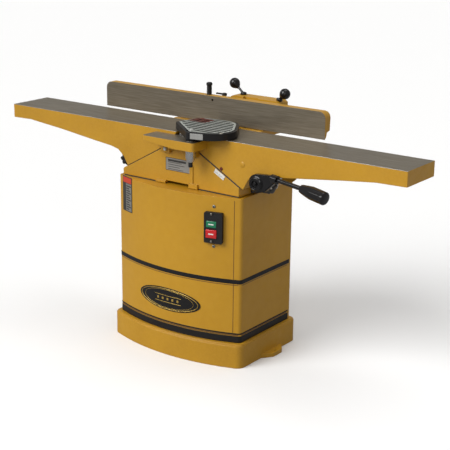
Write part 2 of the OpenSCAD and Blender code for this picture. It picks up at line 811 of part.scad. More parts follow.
module knife_wedges() {
    color("dimgray") on_head() for (a = knife_set) rotate([0, 0, a]) difference() {
        translate([body_r - 14.6, -0.2, 1]) linear_extrude(knife_len - 2)
            polygon([[0, 0], [12.5, 0], [11.2, 9.6], [0, 9.6]]);
        for (i = [0 : 3]) translate([body_r - 8, 20, 22 + 38 * i]) rotate([90, 0, 0])
            cylinder(d = 5, h = 16);
    }
}

module bearing_cup(y, depth) {
    translate([cutter_x, y, cutter_z]) rotate([90, 0, 0]) difference() {
        cylinder(r = block_r - 0.1, h = depth);
        translate([0, 0, 3]) cylinder(r = 18.5, h = depth);
        translate([0, 0, -1]) cylinder(r = 13, h = depth + 2);
    }
}

module bearing_blocks() {
    color("dimgray") {
        bearing_cup(-80, 20);
        mirror([0, 1, 0]) bearing_cup(-81.5, 20);
    }
}

module ball_bearing(y) {
    translate([cutter_x, y, cutter_z]) rotate([90, 0, 0]) difference() {
        cylinder(r = 18.45, h = bearing_w);
        translate([0, 0, -1]) cylinder(d = journal_d + 0.04, h = bearing_w + 2);
        for (z = [-1, bearing_w - 1]) translate([0, 0, z]) difference() {
            cylinder(r = 16, h = 2);
            translate([0, 0, -1]) cylinder(r = 12.5, h = 4);
        }
    }
}

module bearings() {
    color("silver") {
        ball_bearing(-83.2);
        ball_bearing(84.7 + bearing_w);
    }
}

// ---------- guard ----------

guard_low = table_h + 2;
guard_top = guard_low + guard_h;

// Pork-chop plan: post corner, nose, two crowns over the tables and a far tip, as [x, y, radius].
guard_lobes = [[104, -144, 24], [134, -74, 84], [96, -12, 84], [24, 14, 50], [-26, -50, 13]];

module guard_plan(grow) {
    offset(delta = grow) hull() for (c = guard_lobes) translate([c[0], c[1]]) circle(r = c[2], $fn = 96);
}

module guard_body() {
    color("black") difference() {
        union() {
            translate([0, 0, guard_low]) linear_extrude(guard_h - 2) guard_plan(0);
            translate([guard_x, guard_y, guard_low - 11]) cylinder(d = 34, h = 12);
        }
        translate([0, 0, guard_low + 9]) linear_extrude(guard_h) guard_plan(-13);
        translate([guard_x, guard_y, guard_low - 20]) cylinder(d = 20 + 2 * run, h = 60);
        translate([guard_x, guard_y, guard_low + 9]) cylinder(d = 30, h = 60);
    }
}

slat_turn = 1;
slat_pitch = 22;
slat_gap = 12;

module guard_slots() {
    intersection() {
        guard_plan(-18);
        translate([guard_x, 0]) rotate([0, 0, slat_turn]) for (row = [-9 : 5])
            translate([0, row * slat_pitch + 3]) square([500, slat_gap], center = true);
    }
}

module guard_grille() {
    color("lightgray") translate([0, 0, guard_top - 2]) linear_extrude(1.6) difference() {
        guard_plan(-11);
        guard_slots();
    }
}

module guard_side_plate() {
    color("silver") translate([132.8, -161.2, guard_low + 2]) rotate([0, 0, 14.8])
        translate([-23, -1.2, 0]) cube([46, 1, guard_h - 6]);
}

module guard_post() {
    color("silver") {
        translate([guard_x, guard_y, cup_low + 18]) cylinder(d = 20, h = guard_low + 8 - cup_low - 18);
        translate([guard_x, guard_y, cup_low - 6]) cylinder(d = 12, h = 24.1);
        translate([guard_x, guard_y, arm_top + 0.2]) cylinder(d = 30, h = 1.6);
    }
}

cup_d = 34;
cup_high = arm_low - 0.1;
cup_low = cup_high - 39.9;

module spring_cup() {
    color("silver") translate([guard_x, guard_y, cup_low]) difference() {
        union() {
            translate([0, 0, 12]) cylinder(d = cup_d, h = 25);
            cylinder(d1 = cup_d - 8, d2 = cup_d - 0.5, h = 12.1);
            translate([0, 0, 36.8]) cylinder(d = cup_d + 8, h = 3.1);
        }
        translate([0, 0, 12.5]) cylinder(d = cup_d - 5, h = 60);
        translate([0, 0, -1]) cylinder(d = 12 + 2 * run, h = 20);
    }
}

module spring_knob() {
    color("black") translate([guard_x, guard_y, cup_low - 20]) difference() {
        cylinder(d = 15, h = 19.6);
        translate([0, 0, 14]) cylinder(d = 12.02, h = 20);
    }
}

module guard_spring() {
    color("dimgray") translate([guard_x, guard_y, cup_low + 14.2]) {
        for (i = [0 : 6]) translate([0, 0, 3.4 * i]) rotate_extrude() translate([12.2, 0])
            circle(d = 2.2, $fn = 16);
        translate([12.2, 0, 0]) cylinder(d = 1.8, h = 20.4);
    }
}

// ---------- fence ----------

wall_t = 11;
flange_d = 33;

module fence_section() {
    polygon([[0, 0], [0.8, 0], [wall_t, 12], [wall_t, fence_h - 12], [flange_d, fence_h - 12],
        [flange_d, fence_h - 3], [flange_d - 3, fence_h], [0, fence_h]]);
}

module fence_end_rib(x) {
    translate([x, fence_y, fence_z]) rotate([90, 0, 90]) linear_extrude(12)
        polygon([[1, 1], [wall_t, 12], [wall_t + 1, 22], [flange_d - 3, 28], [flange_d, fence_h - 8], [0,
            fence_h - 1]]);
}

pin_x_set = [-90, 130];
boss_x = -33;

module fence_casting() {
    color("goldenrod") difference() {
        union() {
            translate([fence_left, fence_y, fence_z]) rotate([90, 0, 90]) linear_extrude(fence_len)
                fence_section();
            fence_end_rib(fence_left);
            fence_end_rib(fence_right - 12);
            for (x = [-330, -200, 80, 250, 350]) translate([x, fence_y + 5, fence_z + 40])
                cube([10, 16, fence_h - 45]);
            translate([boss_x - 16, fence_y + 5, fence_z + 52]) cube([32, 27, fence_h - 54]);
            for (x = pin_x_set) translate([x - 30, tilt_y, tilt_z]) rotate([0, 90, 0])
                cylinder(r = knuckle_r, h = 60);
        }
        // rounded top corners at both ends
        for (x = [fence_left, fence_right]) difference() {
            translate([x - 24, fence_y - 1, fence_z + fence_h - 24]) cube([48, flange_d + 2, 25]);
            translate([x + (x < fence_x ? 24 : -24), fence_y + flange_d + 4, fence_z + fence_h - 24])
                rotate([90, 0, 0])
                cylinder(r = 24, h = flange_d + 8);
            translate([x < fence_x ? x + 24 : x - 72, fence_y - 2, fence_z + fence_h - 30])
                cube([48, flange_d + 4, 40]);
        }
        // knuckle gaps for the tilt hinge
        for (x = pin_x_set) {
            translate([x - 12.2, fence_y + 1.2, fence_z - 1]) cube([24.4, 40, 12]);
            translate([x - 31, tilt_y, tilt_z]) rotate([0, 90, 0])
                cylinder(d = tilt_pin_d + 2 * run, h = 62);
        }
        translate([-5, fence_y - 1, fence_z + fence_h - 14]) rotate([-90, 0, 0]) cylinder(d = 9, h = 20);
        translate([boss_x, tilt_y + 14, fence_z + fence_h - 20]) cylinder(d = 10, h = 30);
    }
}

module tilt_grip() {
    color("black") translate([boss_x, tilt_y + 14, fence_z + fence_h]) {
        cylinder(d = 18, h = 30);
        translate([0, 0, 30]) cylinder(d = 22, h = 14);
        translate([0, 0, -18]) cylinder(d = 9.9, h = 18.1);
    }
}

module tilt_pins() {
    color("silver") for (x = pin_x_set) translate([x - 26, tilt_y, tilt_z]) rotate([0, 90, 0])
        cylinder(d = tilt_pin_d, h = 52);
}

carriage_low = table_h + 2;
support_top = table_h - 0.4;

module fence_support() {
    color("goldenrod") difference() {
        union() {
            translate([-168, rear_y + 4, support_top - 14]) cube([384, 66, 14]);
            for (x = [-168, 172]) translate([x, rear_y + 4, support_top - 24]) cube([44, 196, 24]);
            for (x = [-168, 172]) translate([x, rear_y + 4, shelf_z + 0.2])
                cube([44, 19, support_top - shelf_z - 10]);
            for (x = [-152, 188]) translate([x, 0, 0]) rotate([90, 0, 90]) linear_extrude(12)
                polygon([[rear_y + 22, shelf_z + 0.2], [rear_y + 22, support_top - 20], [rear_y + 150,
                    support_top - 20]]);
            for (x = [-152, 188]) translate([x - 4, rear_y + 58, support_top - 1]) cube([20, 140, 5]);
        }
        translate([-60, rear_y + 68, 700]) cube([148, 200, 100]);
    }
}

block_y = 205;
block_back = 262;
block_top = 882;

module fence_carriage() {
    color("goldenrod") difference() {
        union() {
            translate([-165, rear_y + 41, carriage_low]) cube([378, block_back - rear_y - 41, 12]);
            translate([0, block_back, 0]) rotate([90, 0, 0]) linear_extrude(block_back - block_y)
                polygon([[-14, carriage_low + 4], [-14, block_top - 22], [6, block_top - 4], [14,
                    block_top],
                    [200, block_top], [212, block_top - 8], [216, 830], [216, carriage_low + 4]]);
            translate([stop_x, stop_y, carriage_low + 4]) cylinder(d = 24, h = 46);
            translate([stop_x, stop_y - 12, carriage_low + 4]) cube([40, 24, 40]);
            for (x = pin_x_set) {
                translate([x - 12, tilt_y + 1, carriage_low - 0.7]) cube([24, 29, 4.4]);
                translate([x - 12, tilt_y, tilt_z]) rotate([0, 90, 0]) cylinder(r = knuckle_r, h = 24);
            }
        }
        // keyways over the two keys of the support
        for (x = [-156.2, 183.8]) translate([x, 60, carriage_low - 10]) cube([20.4, 300, 12]);
        // hollow block, open at the front
        translate([0, block_y - 1, carriage_low + 12]) cube([200, 42, 44]);
        translate([60, block_y - 1, block_top - 12]) cube([62, 12, 20]);
        for (x = pin_x_set) translate([x - 30, tilt_y, tilt_z]) rotate([0, 90, 0])
            cylinder(d = tilt_pin_d + 2 * run, h = 60);
        translate([stop_x, stop_y, carriage_low + 14]) cylinder(d = 10 + 2 * run, h = 80);
        for (p = lock_at) translate([p[0], p[1], block_top - 40]) cylinder(d = 12 + 2 * run, h = 60);
    }
}

lock_at = [[36, 240], [200, 226]];

// A bent lock lever with a pear-shaped knob; turn is its heading seen from above.
ball_r = 19;

module ball_lever(turn, lean, len) {
    rotate([0, 0, turn]) {
        cylinder(d = 22, h = 11);
        translate([0, 0, 6]) rotate([0, lean, 0]) {
            cylinder(d = 9, h = len);
            translate([0, 0, len - 4]) cylinder(r1 = 7, r2 = ball_r * 0.75, h = 13);
            translate([0, 0, len + 20]) sphere(r = ball_r);
            translate([0, 0, len + 20]) cylinder(r = 2.5, h = ball_r + 0.1);   // flat crown of the moulding
        }
    }
}

module slide_lock() {
    color("black") translate([lock_at[1][0], lock_at[1][1], block_top + 0.2]) {
        ball_lever(-10, 52, 13);
        translate([0, 0, -38]) cylinder(d = 12, h = 38.1);
    }
}

module tilt_lock() {
    color("black") translate([lock_at[0][0], lock_at[0][1], block_top + 0.2]) {
        ball_lever(170, 57, 35);
        translate([0, 0, -38]) cylinder(d = 12, h = 38.1);
    }
}

stop_x = -49;
stop_y = 240;

module stop_plunger() {
    color("black") translate([stop_x, stop_y, carriage_low + 20]) {
        cylinder(d = 10, h = 55);
        translate([0, 0, 52]) cylinder(d = 18, h = 9);
        translate([-36, -4.5, 54]) cube([36, 9, 5]);
    }
}

base_casting();
cabinet_shell();
rear_access_panel();
cabinet_stripes();
oval_badge();
caution_plate();
switch_box();
start_button();
stop_button();
stand_screws();
dust_chute();
motor_plate();
motor_housing();
motor_shaft();
motor_pulley();
drive_belt();
head_pulley();
power_cord();
bed_casting();
bed_bolts();
rabbet_arm();
arm_bolts();
data_plate();
depth_scale();
depth_pointer();
belt_cover();
infeed_table();
outfeed_table();
infeed_gib();
outfeed_gib();
infeed_gib_screws();
outfeed_gib_screws();
lever_yoke();
lever_shaft();
lever_hub();
lever_rod();
lever_grip();
outfeed_screw();
outfeed_knob();
outfeed_nut();
cutterhead();
knives();
knife_wedges();
bearing_blocks();
bearings();
guard_body();
guard_grille();
guard_side_plate();
guard_post();
spring_cup();
spring_knob();
guard_spring();
fence_casting();
tilt_grip();
fence_support();
fence_carriage();
tilt_pins();
slide_lock();
tilt_lock();
stop_plunger();
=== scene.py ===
import bpy, bmesh, json, math, random
from mathutils import Matrix, Vector


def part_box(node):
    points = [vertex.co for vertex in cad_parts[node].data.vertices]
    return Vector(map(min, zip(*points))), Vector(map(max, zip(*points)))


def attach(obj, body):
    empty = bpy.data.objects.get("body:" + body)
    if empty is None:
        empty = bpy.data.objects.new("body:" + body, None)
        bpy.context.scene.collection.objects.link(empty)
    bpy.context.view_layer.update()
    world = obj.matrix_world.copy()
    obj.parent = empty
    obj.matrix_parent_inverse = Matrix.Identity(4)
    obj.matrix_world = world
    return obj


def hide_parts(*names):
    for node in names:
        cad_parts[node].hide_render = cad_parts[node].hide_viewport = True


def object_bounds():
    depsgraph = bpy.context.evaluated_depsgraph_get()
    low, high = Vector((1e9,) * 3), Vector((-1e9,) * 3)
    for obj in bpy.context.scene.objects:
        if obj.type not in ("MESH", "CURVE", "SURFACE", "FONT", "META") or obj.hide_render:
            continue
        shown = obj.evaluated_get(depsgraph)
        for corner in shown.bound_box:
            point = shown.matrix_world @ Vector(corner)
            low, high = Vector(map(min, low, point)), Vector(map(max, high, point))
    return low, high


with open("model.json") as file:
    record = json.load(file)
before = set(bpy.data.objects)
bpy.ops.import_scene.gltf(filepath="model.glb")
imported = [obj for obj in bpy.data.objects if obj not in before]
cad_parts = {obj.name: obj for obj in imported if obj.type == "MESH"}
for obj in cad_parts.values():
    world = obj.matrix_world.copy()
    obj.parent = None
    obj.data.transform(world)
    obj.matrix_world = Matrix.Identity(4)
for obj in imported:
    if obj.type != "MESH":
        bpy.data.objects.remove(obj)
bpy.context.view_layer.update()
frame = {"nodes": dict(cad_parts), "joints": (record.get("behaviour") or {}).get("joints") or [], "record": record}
NODES, RECORD = frame["nodes"], frame["record"]
JOINTS = {j["name"]: j for j in frame["joints"]}
random.seed(4)
X, Y, Z = Vector((1, 0, 0)), Vector((0, 1, 0)), Vector((0, 0, 1))

# ---------------------------------------------------------------- materials
def sub_shader(nt, coord, spec):
    """One procedural surface: colour variation, wear on edges, roughness variation and bump."""
    n, l = nt.nodes, nt.links
    stretch = n.new("ShaderNodeMapping"); stretch.inputs["Scale"].default_value = spec.get("stretch", (1, 1, 1))
    l.new(coord.outputs["Object"], stretch.inputs["Vector"])

    def noise(scale, detail=4, source=None):
        t = n.new("ShaderNodeTexNoise")
        t.inputs["Scale"].default_value, t.inputs["Detail"].default_value = scale, detail
        l.new(source or coord.outputs["Object"], t.inputs["Vector"])
        return t.outputs["Fac"]

    def ramp(fac, lo, hi, a=0.0, b=1.0):
        m = n.new("ShaderNodeMapRange")
        for key, v in zip(("From Min", "From Max", "To Min", "To Max"), (lo, hi, a, b)):
            m.inputs[key].default_value = v
        l.new(fac, m.inputs["Value"])
        return m.outputs["Result"]

    def blend(fac, a, b):
        m = n.new("ShaderNodeMix"); m.data_type = "RGBA"
        l.new(fac, m.inputs["Factor"])
        for socket, v in ((m.inputs[6], a), (m.inputs[7], b)):
            if isinstance(v, tuple): socket.default_value = (*v, 1)
            else: l.new(v, socket)
        return m.outputs[2]

    grain = noise(spec.get("grain", 60), 6, stretch.outputs["Vector"])
    cloud = noise(spec.get("cloud", 5), 3)
    colour = blend(ramp(cloud, 0.3, 0.7), spec["base"], spec["alt"])
    colour = blend(ramp(grain, 0.35, 0.75, 0, spec.get("speck", 0.25)), colour, spec.get("fleck", spec["alt"]))
    bevel = n.new("ShaderNodeBevel"); bevel.samples = 4
    bevel.inputs["Radius"].default_value = spec.get("round", 0.0012)
    if "edge" in spec:
        geo = n.new("ShaderNodeNewGeometry")
        dot = n.new("ShaderNodeVectorMath"); dot.operation = "DOT_PRODUCT"
        l.new(bevel.outputs["Normal"], dot.inputs[0]); l.new(geo.outputs["Normal"], dot.inputs[1])
        worn = n.new("ShaderNodeMath"); worn.operation = "MULTIPLY"
        l.new(ramp(dot.outputs["Value"], 0.995, 0.9), worn.inputs[0])
        l.new(ramp(noise(90), 0.45, 0.7, 0, spec.get("wear", 0.3)), worn.inputs[1])
        colour = blend(worn.outputs[0], colour, spec["edge"])
    bump = n.new("ShaderNodeBump")
    bump.inputs["Strength"].default_value = spec.get("bump", 0.08)
    bump.inputs["Distance"].default_value = spec.get("depth", 0.0006)
    l.new(noise(spec.get("bscale", 260), 3, stretch.outputs["Vector"]), bump.inputs["Height"])
    l.new(bevel.outputs["Normal"], bump.inputs["Normal"])
    p = n.new("ShaderNodeBsdfPrincipled")
    l.new(colour, p.inputs["Base Color"]); l.new(bump.outputs["Normal"], p.inputs["Normal"])
    l.new(ramp(noise(spec.get("rscale", 24), 4, stretch.outputs["Vector"]), 0.3, 0.7, *spec["rough"]), p.inputs["Roughness"])
    p.inputs["Metallic"].default_value = spec.get("metal", 0)
    p.inputs["Coat Weight"].default_value = spec.get("coat", 0)
    p.inputs["Coat Roughness"].default_value = 0.12
    p.inputs["Specular IOR Level"].default_value = spec.get("shine", 0.5)
    return p.outputs["BSDF"]


def material(name, spec, *layers):
    """layers: (spec, tests); every test is (source "n" or "p", axis index, "<" or ">", value) in the row frame at rest."""
    m = bpy.data.materials.new(name); m.use_nodes = True
    nt = m.node_tree; nt.nodes.clear()
    coord = nt.nodes.new("ShaderNodeTexCoord")
    parts = {"n": nt.nodes.new("ShaderNodeSeparateXYZ"), "p": nt.nodes.new("ShaderNodeSeparateXYZ")}
    nt.links.new(coord.outputs["Normal"], parts["n"].inputs[0]); nt.links.new(coord.outputs["Object"], parts["p"].inputs[0])
    shader = sub_shader(nt, coord, spec)
    for other, tests in layers:
        mask = None
        for source, axis, sign, value in tests:
            t = nt.nodes.new("ShaderNodeMath"); t.operation = "GREATER_THAN" if sign == ">" else "LESS_THAN"
            nt.links.new(parts[source].outputs[axis], t.inputs[0]); t.inputs[1].default_value = value
            if mask is not None:
                both = nt.nodes.new("ShaderNodeMath"); both.operation = "MULTIPLY"
                nt.links.new(mask, both.inputs[0]); nt.links.new(t.outputs[0], both.inputs[1]); t = both
            mask = t.outputs[0]
        mix = nt.nodes.new("ShaderNodeMixShader")
        nt.links.new(mask, mix.inputs[0]); nt.links.new(shader, mix.inputs[1])
        nt.links.new(sub_shader(nt, coord, other), mix.inputs[2])
        shader = mix.outputs[0]
    out = nt.nodes.new("ShaderNodeOutputMaterial"); nt.links.new(shader, out.inputs["Surface"])
    m.diffuse_color = (*spec["base"], 1)
    return m


SPEC = {
    "yellow": dict(base=(0.52, 0.268, 0.012), alt=(0.47, 0.236, 0.009), fleck=(0.57, 0.31, 0.02), rough=(0.32, 0.46), cloud=3,
                   grain=40, speck=0.3, bump=0.10, bscale=330, coat=0.12, edge=(0.64, 0.40, 0.07), wear=0.45, round=0.0018),
    "cast_yellow": dict(base=(0.52, 0.268, 0.012), alt=(0.45, 0.225, 0.009), fleck=(0.56, 0.30, 0.02), rough=(0.36, 0.52), cloud=6,
                        grain=120, speck=0.4, bump=0.30, bscale=150, depth=0.0009, coat=0.1, edge=(0.64, 0.40, 0.07), wear=0.5, round=0.003),
    "ground": dict(base=(0.178, 0.150, 0.106), alt=(0.142, 0.120, 0.086), fleck=(0.25, 0.215, 0.165), rough=(0.30, 0.46), metal=0.5,
                   stretch=(1, 26, 26), grain=14, speck=0.8, cloud=4, bump=0.14, bscale=60, rscale=10, edge=(0.5, 0.47, 0.42), wear=0.9, round=0.0008),
    "bright": dict(base=(0.55, 0.53, 0.50), alt=(0.46, 0.44, 0.41), rough=(0.25, 0.4), metal=0.9, stretch=(1, 30, 30), bump=0.1),
    "steel": dict(base=(0.56, 0.55, 0.53), alt=(0.46, 0.45, 0.44), fleck=(0.7, 0.7, 0.68), rough=(0.22, 0.38), metal=1, grain=200, bump=0.08,
                  bscale=500, edge=(0.8, 0.8, 0.8), wear=0.6, round=0.0005),
    "zinc": dict(base=(0.60, 0.60, 0.58), alt=(0.52, 0.53, 0.50), fleck=(0.45, 0.44, 0.38), rough=(0.28, 0.45), metal=1, grain=300, bump=0.1,
                 edge=(0.8, 0.8, 0.78), wear=0.4, round=0.0004),
    "dull_zinc": dict(base=(0.30, 0.285, 0.24), alt=(0.24, 0.23, 0.20), fleck=(0.36, 0.34, 0.29), rough=(0.42, 0.58), metal=0.8, grain=300, bump=0.1,
                      edge=(0.5, 0.48, 0.42), wear=0.4),
    "chrome": dict(base=(0.78, 0.78, 0.78), alt=(0.70, 0.70, 0.71), rough=(0.05, 0.14), metal=1, bump=0.02, speck=0.1),
    "cast_gray": dict(base=(0.085, 0.085, 0.085), alt=(0.06, 0.06, 0.062), fleck=(0.12, 0.115, 0.11), rough=(0.55, 0.75), metal=0.4, grain=200,
                      bump=0.5, bscale=220, depth=0.001, edge=(0.2, 0.2, 0.2), wear=0.6),
    "black_paint": dict(base=(0.008, 0.008, 0.009), alt=(0.012, 0.011, 0.011), fleck=(0.022, 0.021, 0.020), rough=(0.28, 0.45), shine=0.28,
                        bump=0.12, bscale=320, edge=(0.05, 0.048, 0.045), wear=0.4),
    "black_plastic": dict(base=(0.009, 0.009, 0.010), alt=(0.014, 0.013, 0.013), fleck=(0.03, 0.03, 0.03), rough=(0.42, 0.62), grain=500, shine=0.28,
                          bump=0.5, bscale=900, depth=0.0004, edge=(0.05, 0.05, 0.05), wear=0.35),
    "black_gloss": dict(base=(0.006, 0.006, 0.007), alt=(0.010, 0.009, 0.009), rough=(0.12, 0.24), coat=0.15, shine=0.3, bump=0.03,
                        edge=(0.03, 0.03, 0.03), wear=0.25),
    "grille": dict(base=(0.40, 0.42, 0.385), alt=(0.33, 0.35, 0.32), fleck=(0.47, 0.49, 0.45), rough=(0.36, 0.52), metal=0.2, bump=0.25, bscale=300),
    "green": dict(base=(0.008, 0.20, 0.085), alt=(0.006, 0.16, 0.07), rough=(0.18, 0.3), coat=0.4, bump=0.05, edge=(0.05, 0.32, 0.17), wear=0.4),
    "red": dict(base=(0.62, 0.012, 0.014), alt=(0.52, 0.009, 0.010), rough=(0.18, 0.3), coat=0.4, bump=0.05, edge=(0.75, 0.08, 0.07), wear=0.4),
    "dark_red": dict(base=(0.16, 0.022, 0.012), alt=(0.12, 0.018, 0.010), rough=(0.4, 0.55), bump=0.1),
    "caution": dict(base=(0.60, 0.055, 0.018), alt=(0.52, 0.045, 0.015), rough=(0.35, 0.5), bump=0.05),
    "label": dict(base=(0.235, 0.225, 0.20), alt=(0.19, 0.18, 0.16), fleck=(0.32, 0.30, 0.27), rough=(0.4, 0.55), metal=0.2, grain=90, bump=0.08),
    "plate": dict(base=(0.34, 0.33, 0.305), alt=(0.28, 0.27, 0.25), fleck=(0.42, 0.41, 0.38), rough=(0.34, 0.48), metal=0.3, stretch=(1, 1, 30), bump=0.08),
    "silver_label": dict(base=(0.50, 0.50, 0.47), alt=(0.42, 0.42, 0.40), rough=(0.28, 0.42), metal=0.6, stretch=(1, 1, 30), bump=0.08),
    "white": dict(base=(0.78, 0.78, 0.75), alt=(0.70, 0.70, 0.66), rough=(0.35, 0.5), bump=0.05),
    # near-black colour for print on plates and scales; also used as painted shade for dark strips in gaps, the cross
    # recesses of screws and the fence hole's walls
    "ink_and_shade": dict(base=(0.02, 0.02, 0.02), alt=(0.035, 0.034, 0.032), rough=(0.45, 0.6), bump=0.05),
    "gold": dict(base=(0.62, 0.42, 0.10), alt=(0.54, 0.35, 0.07), rough=(0.24, 0.38), metal=0.7, bump=0.06),
    "pin_line": dict(base=(0.16, 0.075, 0.02), alt=(0.12, 0.055, 0.014), rough=(0.35, 0.5), bump=0.08),
    "rubber": dict(base=(0.018, 0.018, 0.018), alt=(0.026, 0.025, 0.024), fleck=(0.05, 0.048, 0.045), rough=(0.6, 0.8), grain=300, bump=0.3, bscale=500),
    "brass": dict(base=(0.60, 0.40, 0.13), alt=(0.50, 0.32, 0.09), rough=(0.25, 0.42), metal=1, bump=0.08),
}
M = {k: material(k, v) for k, v in SPEC.items()}


def top_of(node):
    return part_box(node)[1].z


def table_material(node):
    half = (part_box(node)[1].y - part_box(node)[0].y) / 2
    top = top_of(node)
    # a bright band along the top edge of each long side: a bare chamfer, made brighter than the ground top as a painted
    # highlight
    chamfer_and_highlight = [(SPEC["bright"], [("p", 2, ">", top - 0.0012), ("p", 1, sign, v)]) for sign, v in (("<", -half + 0.0012), (">", half - 0.0012))]
    return material(node + "_paint", SPEC["cast_yellow"], (SPEC["ground"], [("n", 2, ">", 0.9), ("p", 2, ">", top - 0.001)]), *chamfer_and_highlight)


M["infeed"], M["outfeed"] = table_material("infeed_table"), table_material("outfeed_table")
M["arm"] = material("arm_paint", SPEC["cast_yellow"], (SPEC["ground"], [("n", 2, ">", 0.9), ("p", 2, ">", top_of("rabbet_arm") - 0.001)]))
face_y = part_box("fence_casting")[0].y
hole = [m for m in RECORD["mounts"] if m["name"] == "fence_hole"][0]
hole_r = hole["dims"]["r_mm"] / 1000 + 0.0002
around = [("p", axis, sign, hole["pos_m"][axis] + side * hole_r) for axis in (0, 2) for sign, side in (("<", 1), (">", -1))]
# the walls of the fence hole behind the face get a near-black layer, painted shade in the hole
M["fence"] = material("fence_paint", SPEC["cast_yellow"], (SPEC["ground"], [("n", 1, "<", -0.9), ("p", 1, "<", face_y + 0.001)]),
                      (SPEC["ink_and_shade"], around + [("p", 1, ">", face_y + 0.0004)]))
up_face = ("n", 2, ">", 0.9)
M["guard_top"] = material("guard_top_paint", SPEC["black_paint"], (SPEC["grille"], [up_face]),
                          (SPEC["dark_red"], [up_face, ("p", 0, ">", -0.016), ("p", 0, "<", 0.056), ("p", 1, ">", -0.012), ("p", 1, "<", 0.046)]))

LOOK = {
    "base_casting": "cast_yellow", "cabinet_shell": "yellow", "rear_access_panel": "yellow", "cabinet_stripes": "black_paint",
    "oval_badge": "black_gloss", "caution_plate": "ink_and_shade", "switch_box": "black_plastic", "stand_screws": "zinc", "dust_chute": "cast_gray",
    "motor_plate": "black_paint", "motor_housing": "cast_gray", "motor_shaft": "steel", "motor_pulley": "cast_gray", "drive_belt": "rubber",
    "head_pulley": "cast_gray", "power_cord": "rubber", "bed_casting": "cast_yellow", "bed_bolts": "zinc", "rabbet_arm": "arm",
    "arm_bolts": "zinc", "data_plate": "plate", "depth_scale": "white", "depth_pointer": "dark_red", "belt_cover": "yellow",
    "infeed_table": "infeed", "outfeed_table": "outfeed", "infeed_gib": "steel", "outfeed_gib": "steel", "infeed_gib_screws": "zinc",
    "outfeed_gib_screws": "zinc", "lever_yoke": "cast_gray", "lever_shaft": "steel", "lever_hub": "black_gloss", "lever_rod": "black_gloss",
    "lever_grip": "black_gloss", "outfeed_screw": "steel", "outfeed_knob": "black_plastic", "outfeed_nut": "cast_gray", "cutterhead": "steel",
    "knives": "bright", "knife_wedges": "zinc", "bearing_blocks": "cast_gray", "bearings": "steel", "guard_body": "black_paint",
    "guard_grille": "guard_top", "guard_side_plate": "silver_label", "guard_post": "steel", "spring_cup": "steel", "spring_knob": "black_plastic",
    "guard_spring": "steel", "fence_casting": "fence", "tilt_grip": "black_plastic", "fence_support": "cast_yellow", "fence_carriage": "cast_yellow",
    "tilt_pins": "steel", "slide_lock": "black_gloss", "tilt_lock": "black_gloss", "stop_plunger": "black_plastic",
    "start_button": "green", "stop_button": "red",
}
for node, look in LOOK.items():
    NODES[node].data.materials.clear()
    NODES[node].data.materials.append(M[look])
SLOT = {r["node"]: r["material_slot"] for r in RECORD["subparts"]}
BODY = {n: b for b, ns in RECORD["behaviour"]["bodies"].items() for n in ns}

# ---------------------------------------------------------------- mesh helpers
def piece(name, bm, look, body, slot, *stands_for, smooth=40):
    bmesh.ops.remove_doubles(bm, verts=bm.verts, dist=1e-6)
    bmesh.ops.recalc_face_normals(bm, faces=bm.faces)
    me = bpy.data.meshes.new(name); bm.to_mesh(me); bm.free()
    me.shade_smooth(); me.set_sharp_from_angle(angle=math.radians(smooth))
    ob = bpy.data.objects.new(name, me); bpy.context.scene.collection.objects.link(ob)
    me.materials.append(M[look])
    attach(ob, body)
    if stands_for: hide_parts(*stands_for)
    return ob


def place(origin, axis, up=None):
    """A matrix whose local Z is axis and local Y is as near to up as it can be."""
    z = Vector(axis).normalized()
    up = Vector(up) if up else (Y if abs(z.y) < 0.9 else X)
    x = up.cross(z).normalized()
    y = z.cross(x)
    return Matrix.Translation(Vector(origin)) @ Matrix((x, y, z)).transposed().to_4x4()


def lathe(bm, profile, at, segs=48, wave=None, closed=False):
    """profile: (radius, height) from axis to axis, or all round a ring if closed. wave(angle, radius, height) returns a radius."""
    rings = []
    for r, h in profile:
        if r < 1e-7:
            rings.append([bm.verts.new(at @ Vector((0, 0, h)))])
        else:
            ring = []
            for i in range(segs):
                a = 2 * math.pi * i / segs
                q = wave(a, r, h) if wave else r
                ring.append(bm.verts.new(at @ Vector((q * math.cos(a), q * math.sin(a), h))))
            rings.append(ring)
    for a, b in zip(rings, rings[1:] + (rings[:1] if closed else [])):
        for i in range(segs):
            j = (i + 1) % segs
            quad = [a[i % len(a)], a[j % len(a)], b[j % len(b)], b[i % len(b)]]
            quad = list(dict.fromkeys(quad))
            if len(quad) > 2: bm.faces.new(quad)
    for ring in () if closed else (rings[0], rings[-1]):
        if len(ring) > 1: bm.faces.new(ring)


def arc(cr, ch, r, a0, a1, n=8):
    return [(cr + r * math.cos(math.radians(a0 + (a1 - a0) * i / n)), ch + r * math.sin(math.radians(a0 + (a1 - a0) * i / n))) for i in range(n + 1)]


def block(bm, lo, hi, at=Matrix.Identity(4), bevel=0.0, segs=3):
    geo = bmesh.ops.create_cube(bm, size=1)
    size = [h - l for l, h in zip(lo, hi)]
    mid = [(h + l) / 2 for l, h in zip(lo, hi)]
    for v in geo["verts"]: v.co = Vector([c * s + m for c, s, m in zip(v.co, size, mid)])
    if bevel:
        edges = list({e for v in geo["verts"] for e in v.link_edges})
        made = bmesh.ops.bevel(bm, geom=edges, offset=bevel, segments=segs, affect="EDGES", profile=0.5)
        verts = {v for f in made["faces"] for v in f.verts} | {v for v in geo["verts"] if v.is_valid}
    else:
        verts = set(geo["verts"])
    todo, seen = list(verts), set(verts)
    while todo:
        for e in todo.pop().link_edges:
            for v in e.verts:
                if v not in seen: seen.add(v); todo.append(v)
    for v in seen: v.co = at @ v.co


